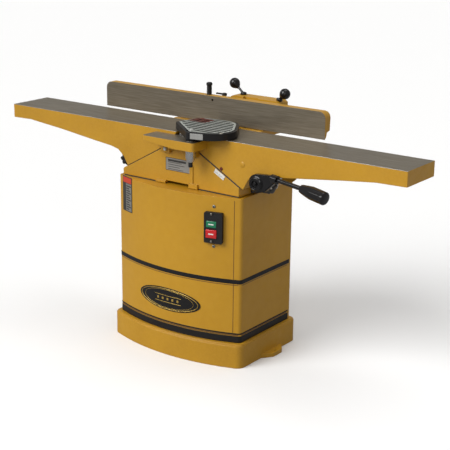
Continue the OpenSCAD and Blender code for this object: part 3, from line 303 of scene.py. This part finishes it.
def sweep(bm, points, radius, segs=12, shape=None, closed=False):
    """A tube or shaped bar along points. radius may be a list; shape is a list of (u, v) for a cross-section."""
    shape = shape or [(math.cos(2 * math.pi * i / segs), math.sin(2 * math.pi * i / segs)) for i in range(segs)]
    pts = [Vector(p) for p in points]
    n, rings, up = len(pts), [], None
    for k, p in enumerate(pts):
        prev, nxt = (pts[k - 1], pts[(k + 1) % n]) if closed else (pts[max(k - 1, 0)], pts[min(k + 1, n - 1)])
        t = (nxt - prev).normalized()
        if up is None: up = (Z if abs(t.z) < 0.9 else X)
        side = up.cross(t).normalized(); up = t.cross(side)
        r = radius[k] if isinstance(radius, list) else radius
        rings.append([bm.verts.new(p + (side * u + up * v) * r) for u, v in shape])
    m = len(shape)
    for a, b in zip(rings, rings[1:] + (rings[:1] if closed else [])):
        for i in range(m): bm.faces.new([a[i], a[(i + 1) % m], b[(i + 1) % m], b[i]])
    if not closed: bm.faces.new(rings[0]); bm.faces.new(rings[-1])


def surface_at(node, start, direction):
    ok, where, normal, _ = NODES[node].ray_cast(Vector(start), Vector(direction))
    if not ok: raise RuntimeError(f"nothing of {node} lies at {tuple(start)}")
    return where, normal


def patch(bm, node, outline, direction, start, thick=0.0003, lift=0.00005, cells=24):
    """A thin closed sheet laid on a node. outline(u, v) gives a point of the start plane for u, v in 0..1."""
    d = Vector(direction)
    nu, nv = cells if isinstance(cells, tuple) else (cells, max(2, cells // 4))
    low, high = [], []
    for i in range(nu + 1):
        for j in range(nv + 1):
            where, _ = surface_at(node, outline(i / nu, j / nv) + start * -d, d)
            low.append(bm.verts.new(where - d * lift)); high.append(bm.verts.new(where - d * (lift + thick)))
    at = lambda layer, i, j: layer[i * (nv + 1) + j]
    for i in range(nu):
        for j in range(nv):
            for layer in (low, high):
                bm.faces.new([at(layer, i, j), at(layer, i + 1, j), at(layer, i + 1, j + 1), at(layer, i, j + 1)])
    rim = [(i, 0) for i in range(nu)] + [(nu, j) for j in range(nv)] + [(i, nv) for i in range(nu, 0, -1)] + [(0, j) for j in range(nv, 0, -1)]
    for a, b in zip(rim, rim[1:] + rim[:1]):
        bm.faces.new([at(low, *a), at(low, *b), at(high, *b), at(high, *a)])


def rect(x0, x1, z0, z1):
    return lambda u, v: Vector((x0 + (x1 - x0) * u, 0, z0 + (z1 - z0) * v))


def islands(node):
    """(lowest, highest) corner of each separate solid of a CAD node."""
    bm = bmesh.new(); bm.from_mesh(NODES[node].data)
    bmesh.ops.remove_doubles(bm, verts=bm.verts, dist=2e-5)
    out, seen = [], set()
    for v in bm.verts:
        if v in seen: continue
        group, todo = [], [v]; seen.add(v)
        while todo:
            w = todo.pop(); group.append(w.co.copy())
            for e in w.link_edges:
                for q in e.verts:
                    if q not in seen: seen.add(q); todo.append(q)
        out.append((Vector([min(c[k] for c in group) for k in range(3)]), Vector([max(c[k] for c in group) for k in range(3)])))
    bm.free()
    return out


def mid(node):
    lo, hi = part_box(node)
    return (lo + hi) / 2


def joint_at(name):
    return Vector(JOINTS[name]["pos_m"])


# ---------------------------------------------------------------- cabinet dress
shell_lo, shell_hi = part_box("cabinet_shell")
stripe_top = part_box("cabinet_stripes")[1].z
seam_x, seam_w = shell_hi.x - 0.0255, 0.0018
bm = bmesh.new()
patch(bm, "cabinet_shell", rect(seam_x, seam_x + seam_w, stripe_top + 0.001, shell_hi.z - 0.009), Y, 0.4, cells=(2, 8))
patch(bm, "cabinet_shell", rect(seam_x, seam_x + seam_w, shell_lo.z + 0.037, stripe_top - 0.017), Y, 0.4, cells=(2, 8))
piece("cabinet_seam", bm, "pin_line", "root", "black_paint")
bm = bmesh.new(); pin_end = shell_hi.x - 0.008
pin_y = (shell_lo.y + 0.045, shell_hi.y - 0.03)
for low, high in ((stripe_top - 0.0208, stripe_top - 0.0185), (shell_lo.z + 0.0262, shell_lo.z + 0.0296)):
    patch(bm, "cabinet_shell", rect(-pin_end, pin_end, low, high), Y, 0.4, cells=(60, 1))
    flank = lambda u, v: Vector((0.4, pin_y[0] + (pin_y[1] - pin_y[0]) * u, low + (high - low) * v))
    patch(bm, "cabinet_shell", flank, -X, 0.0, cells=(30, 1))
piece("cabinet_pin_lines", bm, "pin_line", "root", "black_paint")

# badge: raised rim line and a plain plane-shaving motif
lo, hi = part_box("oval_badge"); c, w, h = (lo + hi) / 2, (hi.x - lo.x) / 2, (hi.z - lo.z) / 2
bm = bmesh.new()
for k, wide in ((0.93, 0.0011), (0.80, 0.0006)):
    ring = []
    for i in range(96):
        a = 2 * math.pi * i / 96
        p, nrm = surface_at("oval_badge", (c.x + w * k * math.cos(a), -0.4, c.z + h * (k - 0.04 * (k > 0.9)) * math.sin(a)), Y)
        ring.append(p + nrm * 0.0002)
    sweep(bm, ring, wide, 8, closed=True)
for z, half, wide in ((-0.012, 0.058, 0.0008), (0.012, 0.058, 0.0008)):
    path = [surface_at("oval_badge", (c.x + half * t / 12, -0.4, c.z + z), Y)[0] - Y * 0.0001 for t in range(-12, 13)]
    sweep(bm, path, wide, 8)
for k in range(5):
    x = c.x + (k - 2) * 0.022
    patch(bm, "oval_badge", rect(x - 0.004, x + 0.004, c.z - 0.004, c.z + 0.004), Y, 0.4, 0.0005, cells=(2, 2))
piece("badge_gold", bm, "gold", "root", "black_paint")

# blank caution plate: coloured header, pale field, rule lines
lo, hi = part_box("caution_plate")
x0, x1, z0, z1 = lo.x + 0.003, hi.x - 0.003, lo.z + 0.003, hi.z - 0.003
bm = bmesh.new(); patch(bm, "caution_plate", rect(x0, x1, z1 - 0.020, z1), Y, 0.4, cells=(6, 3)); piece("caution_header", bm, "caution", "root", "label")
bm = bmesh.new(); patch(bm, "caution_plate", rect(x0, x1, z0, z1 - 0.022), Y, 0.4, 0.0002, cells=(6, 3)); piece("caution_field", bm, "label", "root", "label")
bm = bmesh.new()
column = x0 + (x1 - x0) * 0.34
patch(bm, "caution_plate", rect(x0, column, z0, z1 - 0.022), Y, 0.4, 0.0004, cells=(4, 3))
for k in range(11):
    z = z1 - 0.029 - 0.0084 * k
    patch(bm, "caution_plate", rect(column + 0.003, x1 - 0.003 - 0.006 * (k * 2 % 3), z - 0.0040, z), Y, 0.4, 0.0004, cells=(5, 1))
piece("caution_rules", bm, "ink_and_shade", "root", "label")

# screws of the cabinet: domed heads, each with a near-black cross laid on it as painted shade for its cross recess
def pan_head(bm, at, r, tall):
    prof = [(0, -0.004), (r * 0.45, -0.004), (r * 0.45, 0), (r, 0.0001)]
    prof += [(r * math.cos(a), tall * math.sin(a)) for a in [math.radians(t) for t in (8, 20, 34, 48, 62, 76)]] + [(0, tall)]
    lathe(bm, prof, at, 32)


def cross(bm, at, r, z):
    for turn in (0, 90):
        m = at @ Matrix.Rotation(math.radians(turn), 4, "Z")
        block(bm, (-r, -r * 0.24, z - 0.0006), (r, r * 0.24, z + 0.00012), m, r * 0.1, 2)


heads, recess_shade = bmesh.new(), bmesh.new()
for lo, hi in islands("stand_screws"):
    m, front = (lo + hi) / 2, (lo.y + hi.y) / 2 < 0
    on_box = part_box("switch_box")[0].z < m.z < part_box("switch_box")[1].z
    if front and on_box:
        where, nrm = surface_at("switch_box", (m.x - 0.006, -0.4, m.z), Y)
        r, tall = 0.0042, 0.0024
    elif front:
        where, nrm = surface_at("cabinet_shell", (m.x, -0.4, m.z), Y)
        r, tall = 0.0062, 0.0034
    else:
        where, nrm, r, tall = Vector((m.x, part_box("rear_access_panel")[1].y, m.z)), Y, (hi.x - lo.x) / 2, hi.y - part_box("rear_access_panel")[1].y
    at = place(where, nrm)
    pan_head(heads, at, r, tall); cross(recess_shade, at, r * 0.55, tall)
piece("stand_screw_heads", heads, "dull_zinc", "root", "zinc_steel", "stand_screws")
# near-black crosses: painted shade for the cross recesses
piece("stand_screw_recess_shade", recess_shade, "ink_and_shade", "root", "zinc_steel")

# ---------------------------------------------------------------- switch box
press = Vector(JOINTS["start_press"]["axis"]); out = -press


def box_frame(node):
    return place(mid(node), out, Z)


def local_box(node, at):
    """Lowest and highest corner of a CAD node in the frame of at."""
    back = at.inverted(); points = [back @ v.co for v in NODES[node].data.vertices]
    return tuple(Vector([pick(p[k] for p in points) for k in range(3)]) for pick in (min, max))


for node, look, body, slot in (("start_button", "green", "start", "green_plastic"), ("stop_button", "red", "stop", "red_plastic")):
    a, b = local_box(node, box_frame(node))
    bm = bmesh.new(); block(bm, a, b, box_frame(node), 0.0022, 4)
    piece(node + "_cap", bm, look, body, slot, node)
    bm = bmesh.new()
    wide = 0.0095
    block(bm, (-wide, -0.0022, b.z - 0.0002), (wide, 0.0022, b.z + 0.0003), box_frame(node), 0.0001, 1)
    piece(node + "_mark", bm, "white", body, slot)
at = box_frame("switch_box"); b_lo, b_hi = local_box("switch_box", at)
bm = bmesh.new()
for y0, y1 in ((b_hi.y - 0.0215, b_hi.y - 0.0205), (b_lo.y + 0.0205, b_lo.y + 0.0215)):
    block(bm, (b_lo.x + 0.012, y0, b_hi.z - 0.0004), (b_hi.x - 0.012, y1, b_hi.z + 0.0006), at, 0.0002, 1)
piece("switch_box_ribs", bm, "black_plastic", "root", "black_plastic")

# ---------------------------------------------------------------- bed front
lo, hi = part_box("data_plate"); bm = bmesh.new()
for x in (lo.x + 0.004, hi.x - 0.004):
    for z in (lo.z + 0.004, hi.z - 0.004):
        lathe(bm, [(0, -0.0002), (0.0016, -0.0002), (0.0014, 0.0005), (0, 0.0008)], place((x, lo.y, z), -Y), 20)
piece("data_plate_rivets", bm, "steel", "root", "zinc_steel")
bm = bmesh.new()
for k, (wide, tall) in enumerate(((0.92, 0.0075), (0.70, 0.0018), (0.84, 0.0018), (0.60, 0.0018), (0.78, 0.0018))):
    z = hi.z - 0.0055 - (0.0078 * k if k else 0) - 0.002 * (k > 0)
    block(bm, (lo.x + 0.010, lo.y - 0.00015, z - tall), (lo.x + 0.010 + (hi.x - lo.x - 0.02) * wide, lo.y + 0.0002, z))
edge = 0.0014
for a, b in (((lo.x, lo.z), (hi.x, lo.z + edge)), ((lo.x, hi.z - edge), (hi.x, hi.z)),
             ((lo.x, lo.z), (lo.x + edge, hi.z)), ((hi.x - edge, lo.z), (hi.x, hi.z))):
    block(bm, (a[0], lo.y - 0.00012, a[1]), (b[0], lo.y + 0.0002, b[1]))
piece("data_plate_rules", bm, "ink_and_shade", "root", "label")

lo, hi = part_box("depth_scale"); way = Vector(JOINTS["infeed_slide"]["axis"]); c = (lo + hi) / 2
at = Matrix.Translation((c.x, lo.y, c.z)) @ Matrix((way, Y, way.cross(Y))).transposed().to_4x4()
length = (hi.x - lo.x) / abs(way.x) * 0.80
bm = bmesh.new()
for k in range(17):
    tall = 0.0075 if k % 4 == 0 else 0.0045 if k % 2 == 0 else 0.003
    x = (k / 16 - 0.5) * length
    block(bm, (x - 0.00022, -0.0002, -0.0045), (x + 0.00022, 0.0002, -0.0045 + tall), at)
piece("depth_scale_ticks", bm, "ink_and_shade", "root", "white_label")

# painted shade: dark strips under each table along its way, and in the gap between the bed and the cabinet, where
# shadow falls
table_half = (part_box("infeed_table")[1].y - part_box("infeed_table")[0].y) / 2
bed_lo, bed_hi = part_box("bed_casting"); top_z = joint_at("cutter_spin").z - 0.023
bm = bmesh.new()
for side, tall in ((1, 0.0047), (-1, 0.0020)):
    along = Vector((side * abs(way.x), 0, -abs(way.z)))
    m = Matrix.Translation((joint_at("cutter_spin").x + side * 0.081, -table_half, top_z)) @ Matrix((along, Y, Vector((side * abs(way.z), 0, abs(way.x))))).transposed().to_4x4()
    block(bm, (-0.004, 0.0004, -tall), (0.188, 0.0030, -0.0002), m)
for x0, x1 in ((bed_lo.x + 0.004, -0.0565), (0.0870, bed_hi.x - 0.004)):
    block(bm, (x0, -table_half + 0.0006, shell_hi.z + 0.0004), (x1, -table_half + 0.0035, shell_hi.z + 0.0044))
piece("bed_shadow_strips", bm, "ink_and_shade", "root", "black_paint")

# plug in the infeed table's side
bm = bmesh.new(); lo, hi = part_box("infeed_table")
lathe(bm, [(0, -0.001), (0.0100, -0.001), (0.0100, 0.0002), (0.0094, 0.0007), (0, 0.0008)], place((0.269, lo.y, 0.721), -Y), 40)
piece("infeed_side_plug", bm, "cast_yellow", "infeed", "yellow_paint")

# hex heads with chamfers and optional washers; the bolts of the arm are drawn without washers
def hex_bolt(bm, at, across, tall, washer=True):
    if washer: lathe(bm, [(0, 0), (across * 0.72, 0), (across * 0.72, 0.0014), (0, 0.0014)], at, 32)
    base = 0.0014 if washer else 0
    top = at @ Matrix.Translation((0, 0, base))
    r = across / 2 / math.cos(math.radians(30))
    lathe(bm, [(0, 0), (r, 0), (r, tall - 0.0012), (r * 0.9, tall), (r * 0.55, tall - 0.0004), (0, tall - 0.0004)], top, 6)


bm = bmesh.new()
for lo, hi in islands("arm_bolts"):
    m = (lo + hi) / 2
    hex_bolt(bm, place((m.x, lo.y + 0.006, m.z), -Y), 0.012, 0.007, False)
piece("arm_bolt_heads", bm, "zinc", "root", "zinc_steel")

# ---------------------------------------------------------------- infeed lever
pivot = joint_at("lever_swing")
hub_lo, hub_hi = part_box("lever_hub"); rod = [v.co.copy() for v in NODES["lever_rod"].data.vertices]
grip = [v.co.copy() for v in NODES["lever_grip"].data.vertices]
rod_mid, grip_mid = sum(rod, Vector()) / len(rod), sum(grip, Vector()) / len(grip)
far = max(grip, key=lambda p: (p - pivot).length)
axis = (mid("lever_grip") - mid("lever_rod")).normalized()
root_end = min(grip, key=lambda p: (p - rod_mid).dot(axis)); span = (far - root_end).dot(axis)
line_point = mid("lever_rod"); start = line_point + axis * (root_end - line_point).dot(axis)
fat = max((p - line_point - axis * (p - line_point).dot(axis)).length for p in grip)
prof = [(0, 0), (fat * 0.48, 0), (fat * 0.54, 0.002)]
for k in range(15):
    t = k / 14
    prof.append((fat * (0.62 + 0.38 * min(1, t * 2.3) ** 0.8), 0.003 + (span - 0.0065) * t))
prof += [(fat * 0.93, span - 0.001), (fat * 0.84, span), (0, span)]
flats = lambda a, r, h: r * (1 - (0.075 * (0.5 + 0.5 * math.cos(8 * a)) if 0.16 * span < h < 0.93 * span else 0))
bm = bmesh.new(); lathe(bm, prof, place(start, axis, Z), 96, flats)
piece("lever_grip_moulded", bm, "black_gloss", "lever", "black_plastic", "lever_grip")
bm = bmesh.new(); at = place((pivot.x, hub_lo.y, pivot.z), -Y)
lathe(bm, [(0.0125, 0.0002)] + arc(0.0195, 0.0002, 0.0022, 180, 0, 8) + [(0.0245, -0.002), (0.0125, -0.002)], at, 64, closed=True)
piece("lever_hub_ring", bm, "black_gloss", "lever", "black_paint")
bm = bmesh.new(); hex_bolt(bm, place((pivot.x, hub_lo.y + 0.0005, pivot.z), -Y), 0.010, 0.003, True)
piece("lever_hub_screw", bm, "black_gloss", "lever", "black_paint")

# ---------------------------------------------------------------- locks, grip, plunger
for node, joint, body, slot in (("slide_lock", "slide_lock_turn", "slide_lock_lever", "black_gloss"), ("tilt_lock", "tilt_lock_turn", "tilt_lock_lever", "black_gloss")):
    lo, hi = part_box(node); p = joint_at(joint); r = 0.019
    ball = Vector([hi[k] - r if abs(hi[k] - p[k]) > abs(lo[k] - p[k]) else lo[k] + r for k in range(2)] + [hi.z - r])
    foot = Vector((p.x, p.y, p.z + 0.0062)); lean = (ball - foot).normalized(); reach = (ball - foot).length
    at = place(foot, lean)
    bm = bmesh.new()
    base = Matrix.Translation((p.x, p.y, p.z + 0.0002))
    lathe(bm, [(0, -0.038), (0.006, -0.038), (0.006, 0), (0.0105, 0), (0.011, 0.0008), (0.011, 0.0085), (0.0095, 0.0105), (0.006, 0.0112), (0.0055, 0.0102), (0, 0.0102)], base, 48)
    piece(node + "_hub", bm, "black_gloss", body, slot, node)
    bm = bmesh.new(); lathe(bm, [(0, 0), (0.0045, 0), (0.0042, 0.012), (0.0042, reach - 0.014), (0, reach - 0.014)], at, 32)
    piece(node + "_rod", bm, "black_gloss", body, slot)
    bm = bmesh.new()
    prof = [(0, -0.0235), (0.0062, -0.0235), (0.0072, -0.0225), (0.0092, -0.0195), (0.0125, -0.016)]
    prof += [(r * math.cos(math.radians(a)), r * math.sin(math.radians(a))) for a in range(-42, 90, 6)] + [(0, r)]
    lathe(bm, prof, at @ Matrix.Translation((0, 0, reach)), 64)
    piece(node + "_ball", bm, "black_gloss", body, slot)

lo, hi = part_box("tilt_grip"); c = (lo + hi) / 2
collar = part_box("fence_casting")[1].z; tall = hi.z - collar
prof = [(0, lo.z - collar), (0.0045, lo.z - collar), (0.0045, 0), (0.0092, 0.0), (0.0098, 0.002), (0.0085, 0.004)]
z = 0.005
while z < tall - 0.014:
    prof += [(0.0082, z), (0.0094, z + 0.001), (0.0094, z + 0.0026), (0.0082, z + 0.0036)]; z += 0.0042
prof += [(0.0088, tall - 0.0125), (0.0105, tall - 0.0105), (0.0110, tall - 0.007), (0.0105, tall - 0.003), (0.0075, tall - 0.0006), (0.004, tall), (0, tall)]
bm = bmesh.new(); lathe(bm, prof, Matrix.Translation((c.x, c.y, collar)), 56)
piece("tilt_grip_ribbed", bm, "black_plastic", "fence", "black_plastic", "tilt_grip")

lo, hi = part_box("stop_plunger"); tall = hi.z - lo.z; r = (hi.y - lo.y) / 2
c = Vector((hi.x - r, (lo.y + hi.y) / 2, 0))
knurl = lambda a, q, h: q * (1 - 0.06 * (0.5 + 0.5 * math.cos(24 * a))) if tall - 0.0095 < h < tall - 0.0008 and q > r * 0.8 else q
bm = bmesh.new()
lathe(bm, [(0, 0), (0.004, 0), (0.005, 0.0015), (0.005, tall - 0.010), (r * 0.8, tall - 0.010), (r, tall - 0.009), (r, tall - 0.0015), (r * 0.85, tall - 0.0003), (r * 0.4, tall), (0, tall)], Matrix.Translation((c.x, c.y, lo.z)), 96, knurl)
block(bm, (lo.x, c.y - 0.0045, hi.z - 0.0068), (c.x - r * 0.6, c.y + 0.0045, hi.z - 0.0022), bevel=0.0008, segs=2)
piece("stop_plunger_knurled", bm, "black_plastic", "stop_pin", "black_plastic", "stop_plunger")

# knob under the arm, lobed
lo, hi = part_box("spring_knob"); c = (lo + hi) / 2; tall = hi.z - lo.z; r = (hi.x - lo.x) / 2
grips = lambda a, q, h: q * (1 - 0.09 * (0.5 + 0.5 * math.cos(12 * a))) if q > r * 0.8 else q
bm = bmesh.new()
lathe(bm, [(0, 0), (r * 0.6, 0), (r * 0.93, 0.001), (r, 0.0025), (r, tall - 0.004), (r * 0.9, tall - 0.0025), (r * 0.55, tall - 0.002), (r * 0.55, tall), (0, tall)], Matrix.Translation((c.x, c.y, lo.z)), 96, grips)
piece("spring_knob_fluted", bm, "black_plastic", "guard_stem", "black_plastic", "spring_knob")

# the guard's return spring: a wound wire
lo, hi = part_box("guard_spring"); c = (lo + hi) / 2
wire = 0.0009; coil_r = (hi.x - lo.x) / 2 - wire; turns = 6.5; n = 40
path = [Vector((c.x + coil_r * math.cos(2 * math.pi * t / n), c.y + coil_r * math.sin(2 * math.pi * t / n), lo.z + wire + (hi.z - lo.z - 2 * wire) * t / (turns * n))) for t in range(int(turns * n) + 1)]
bm = bmesh.new(); sweep(bm, path, wire, 10)
piece("guard_spring_wound", bm, "steel", "root", "cast_gray", "guard_spring")

# ---------------------------------------------------------------- guard
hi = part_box("guard_grille")[1]; boss = surface_at("guard_body", (0.199, -0.113, hi.z + 0.1), -Z)[0]
bm = bmesh.new()
lathe(bm, [(0, -0.001), (0.0068, -0.001), (0.0068, 0.0010), (0.0056, 0.0026), (0.0028, 0.0033), (0, 0.0034)], Matrix.Translation(boss), 40)
piece("guard_boss", bm, "dull_zinc", "guard", "zinc_steel")
bm = bmesh.new(); lathe(bm, [(0, -0.001), (0.009, -0.001), (0.009, 0.001), (0.0078, 0.0020), (0.0035, 0.0022), (0.003, 0.0012), (0, 0.0012)], Matrix.Translation((joint_at("guard_swing").x, joint_at("guard_swing").y, hi.z)), 40)
piece("guard_post_cap", bm, "zinc", "guard", "zinc_steel")

# ---------------------------------------------------------------- cutterhead, drive and motor
spin = joint_at("cutter_spin")
lo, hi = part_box("bearings")
for y in (lo.y, hi.y):
    bm = bmesh.new(); side = -1 if y < 0 else 1
    for k in range(9):
        a = 2 * math.pi * k / 9
        bmesh.ops.create_icosphere(bm, subdivisions=2, radius=0.0026, matrix=Matrix.Translation((spin.x + 0.0138 * math.cos(a), y - side * 0.0015, spin.z + 0.0138 * math.sin(a))))
    piece("bearing_balls_" + ("front" if side < 0 else "rear"), bm, "chrome", "root", "machined_steel", smooth=80)

# cogged belt over both pulleys
a0, a1 = joint_at("motor_spin"), spin
lo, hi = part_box("drive_belt"); yc = (lo.y + hi.y) / 2
r0, r1 = a0.z - lo.z, hi.z - a1.z
d = Vector((a1.x - a0.x, 0, a1.z - a0.z)); dist = d.length; e = d / dist; f = Vector((-e.z, 0, e.x))
phi = math.acos((r0 - r1) / dist)
ring = []
for k in range(49):
    t = phi + (2 * math.pi - 2 * phi) * k / 48
    ring.append((Vector((a0.x, yc, a0.z)), t, r0))
for k in range(49):
    t = -phi + 2 * phi * k / 48
    ring.append((Vector((a1.x, yc, a1.z)), t, r1))
pts = [(o, e * math.cos(t) + f * math.sin(t), r) for o, t, r in ring]
bm = bmesh.new(); loops = []
dense = []
for (o, n_, r), (o2, n2, r2) in zip(pts, pts[1:] + pts[:1]):
    p, q = o + n_ * r, o2 + n2 * r2
    steps = max(1, int((q - p).length / 0.005))
    for s in range(steps):
        t = s / steps; dense.append((p.lerp(q, t), n_.lerp(n2, t).normalized()))
for k, (p, n_) in enumerate(dense):
    deep = 0.0055 if k % 2 else 0.0040
    half_out, half_in = (hi.y - lo.y) / 2, (hi.y - lo.y) / 2 - 0.0015
    loops.append([bm.verts.new(p + Y * -half_out), bm.verts.new(p + Y * half_out), bm.verts.new(p - n_ * deep + Y * half_in), bm.verts.new(p - n_ * deep - Y * half_in)])
for a, b in zip(loops, loops[1:] + loops[:1]):
    for i in range(4): bm.faces.new([a[i], a[(i + 1) % 4], b[(i + 1) % 4], b[i]])
piece("drive_belt_cogged", bm, "rubber", "root", "rubber", "drive_belt", smooth=25)

# motor dress: fan cover rings
lo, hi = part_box("motor_housing"); c = joint_at("motor_spin")
bm = bmesh.new()
for k in range(5):
    r = 0.022 + 0.010 * k
    lathe(bm, [(r, 0.0002), (r + 0.004, 0.0002), (r + 0.004, 0.0016), (r, 0.0016)], place((c.x, lo.y, c.z), -Y), 56, closed=True)
piece("motor_fan_rings", bm, "black_paint", "root", "black_paint")

# rear panel: a pressed hood over each of its slots
def gaps(node, spot, low, high, step=0.0005):
    """Stretches between low and high where a ray along -Y from spot(t) misses the node."""
    found, start = [], None
    for i in range(int((high - low) / step) + 1):
        t = low + i * step
        hit = NODES[node].ray_cast(spot(t), -Y)[0]
        if not hit and start is None: start = t
        if hit and start is not None: found.append((start, t)); start = None
    return found


lo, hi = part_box("rear_access_panel"); behind = hi.y + 0.1
bm = bmesh.new()
for slot_low, slot_high in gaps("rear_access_panel", lambda z: Vector((0, behind, z)), lo.z + 0.001, hi.z - 0.001):
    slot_mid = (slot_low + slot_high) / 2
    left, right_ = gaps("rear_access_panel", lambda x: Vector((x, behind, slot_mid)), lo.x + 0.001, hi.x - 0.001)[0]
    block(bm, (left - 0.002, hi.y - 0.0006, slot_high - 0.0006), (right_ + 0.002, hi.y + 0.0030, slot_high + 0.0050), bevel=0.0015)
piece("rear_panel_louvres", bm, "yellow", "root", "yellow_paint")

# ---------------------------------------------------------------- stage, light and camera
lo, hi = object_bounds()
me = bpy.data.meshes.new("floor"); s = 14
me.from_pydata([(-s, -s, 0), (s, -s, 0), (s, s, 0), (-s, s, 0)], [], [(0, 1, 2, 3)])
floor = bpy.data.objects.new("floor", me); bpy.context.scene.collection.objects.link(floor)
floor.location.z = lo.z - 0.0005
fm = bpy.data.materials.new("floor_white"); fm.use_nodes = True
fn, fl = fm.node_tree.nodes, fm.node_tree.links
fb = fn["Principled BSDF"]; fb.inputs["Base Color"].default_value = (0.95, 0.95, 0.95, 1); fb.inputs["Roughness"].default_value = 0.8
fb.inputs["Specular IOR Level"].default_value = 0.1
soft = fn.new("ShaderNodeBsdfDiffuse"); soft.inputs["Color"].default_value = (0.34, 0.34, 0.34, 1)
seen, choose = fn.new("ShaderNodeLightPath"), fn.new("ShaderNodeMixShader")
fl.new(seen.outputs["Is Camera Ray"], choose.inputs[0]); fl.new(soft.outputs[0], choose.inputs[1]); fl.new(fb.outputs[0], choose.inputs[2])
fl.new(choose.outputs[0], fn["Material Output"].inputs["Surface"])
me.materials.append(fm)

world = bpy.data.worlds.new("studio"); bpy.context.scene.world = world; world.use_nodes = True
wn = world.node_tree.nodes; wl = world.node_tree.links
seen_white = wn["Background"]; seen_white.inputs["Color"].default_value = (1, 1, 1, 1); seen_white.inputs["Strength"].default_value = 1.0
glow = wn.new("ShaderNodeBackground"); glow.inputs["Color"].default_value = (1, 0.99, 0.97, 1); glow.inputs["Strength"].default_value = 0.36
path, pick = wn.new("ShaderNodeLightPath"), wn.new("ShaderNodeMixShader")
wl.new(path.outputs["Is Camera Ray"], pick.inputs[0]); wl.new(glow.outputs[0], pick.inputs[1])
wl.new(seen_white.outputs[0], pick.inputs[2]); wl.new(pick.outputs[0], wn["World Output"].inputs["Surface"])


def light(name, kind, where, aim, power, size=(1, 1), angle=20):
    L = bpy.data.lights.new(name, kind); L.energy = power
    if kind == "SUN": L.angle = math.radians(angle)
    else: L.shape = "RECTANGLE"; L.size, L.size_y = size
    o = bpy.data.objects.new(name, L); bpy.context.scene.collection.objects.link(o)
    o.location = where
    o.rotation_euler = (Vector(aim) - Vector(where)).to_track_quat("-Z", "Y").to_euler()


light("key", "SUN", (-1.6, -3.4, 2.7), (0, 0, 0), 2.50, angle=40)
light("top", "SUN", (0.3, 0.5, 4.0), (0, 0, 0), 0.75, angle=40)
light("strip", "AREA", (1.9, -2.6, 2.2), (0.2, 0, 0.7), 14, size=(0.5, 1.6))

yaw, pitch, roll = math.radians(36.207), math.radians(16.767), math.radians(0.647)
cam_data = bpy.data.cameras.new("camera"); cam = bpy.data.objects.new("camera", cam_data)
bpy.context.scene.collection.objects.link(cam); bpy.context.scene.camera = cam
cam_data.sensor_width, cam_data.lens = 36, 91.08
cam_data.clip_start, cam_data.clip_end = 0.05, 60
fwd = Vector((-math.sin(yaw) * math.cos(pitch), math.cos(yaw) * math.cos(pitch), -math.sin(pitch)))
right = Vector((math.cos(yaw), math.sin(yaw), 0)); up = right.cross(fwd)
r2 = right * math.cos(roll) + up * math.sin(roll); u2 = up * math.cos(roll) - right * math.sin(roll)
cam.matrix_world = Matrix.Translation((2.3815, -3.0681, 1.6131)) @ Matrix((r2, u2, -fwd)).transposed().to_4x4()
bpy.context.scene.view_settings.view_transform = "Standard"
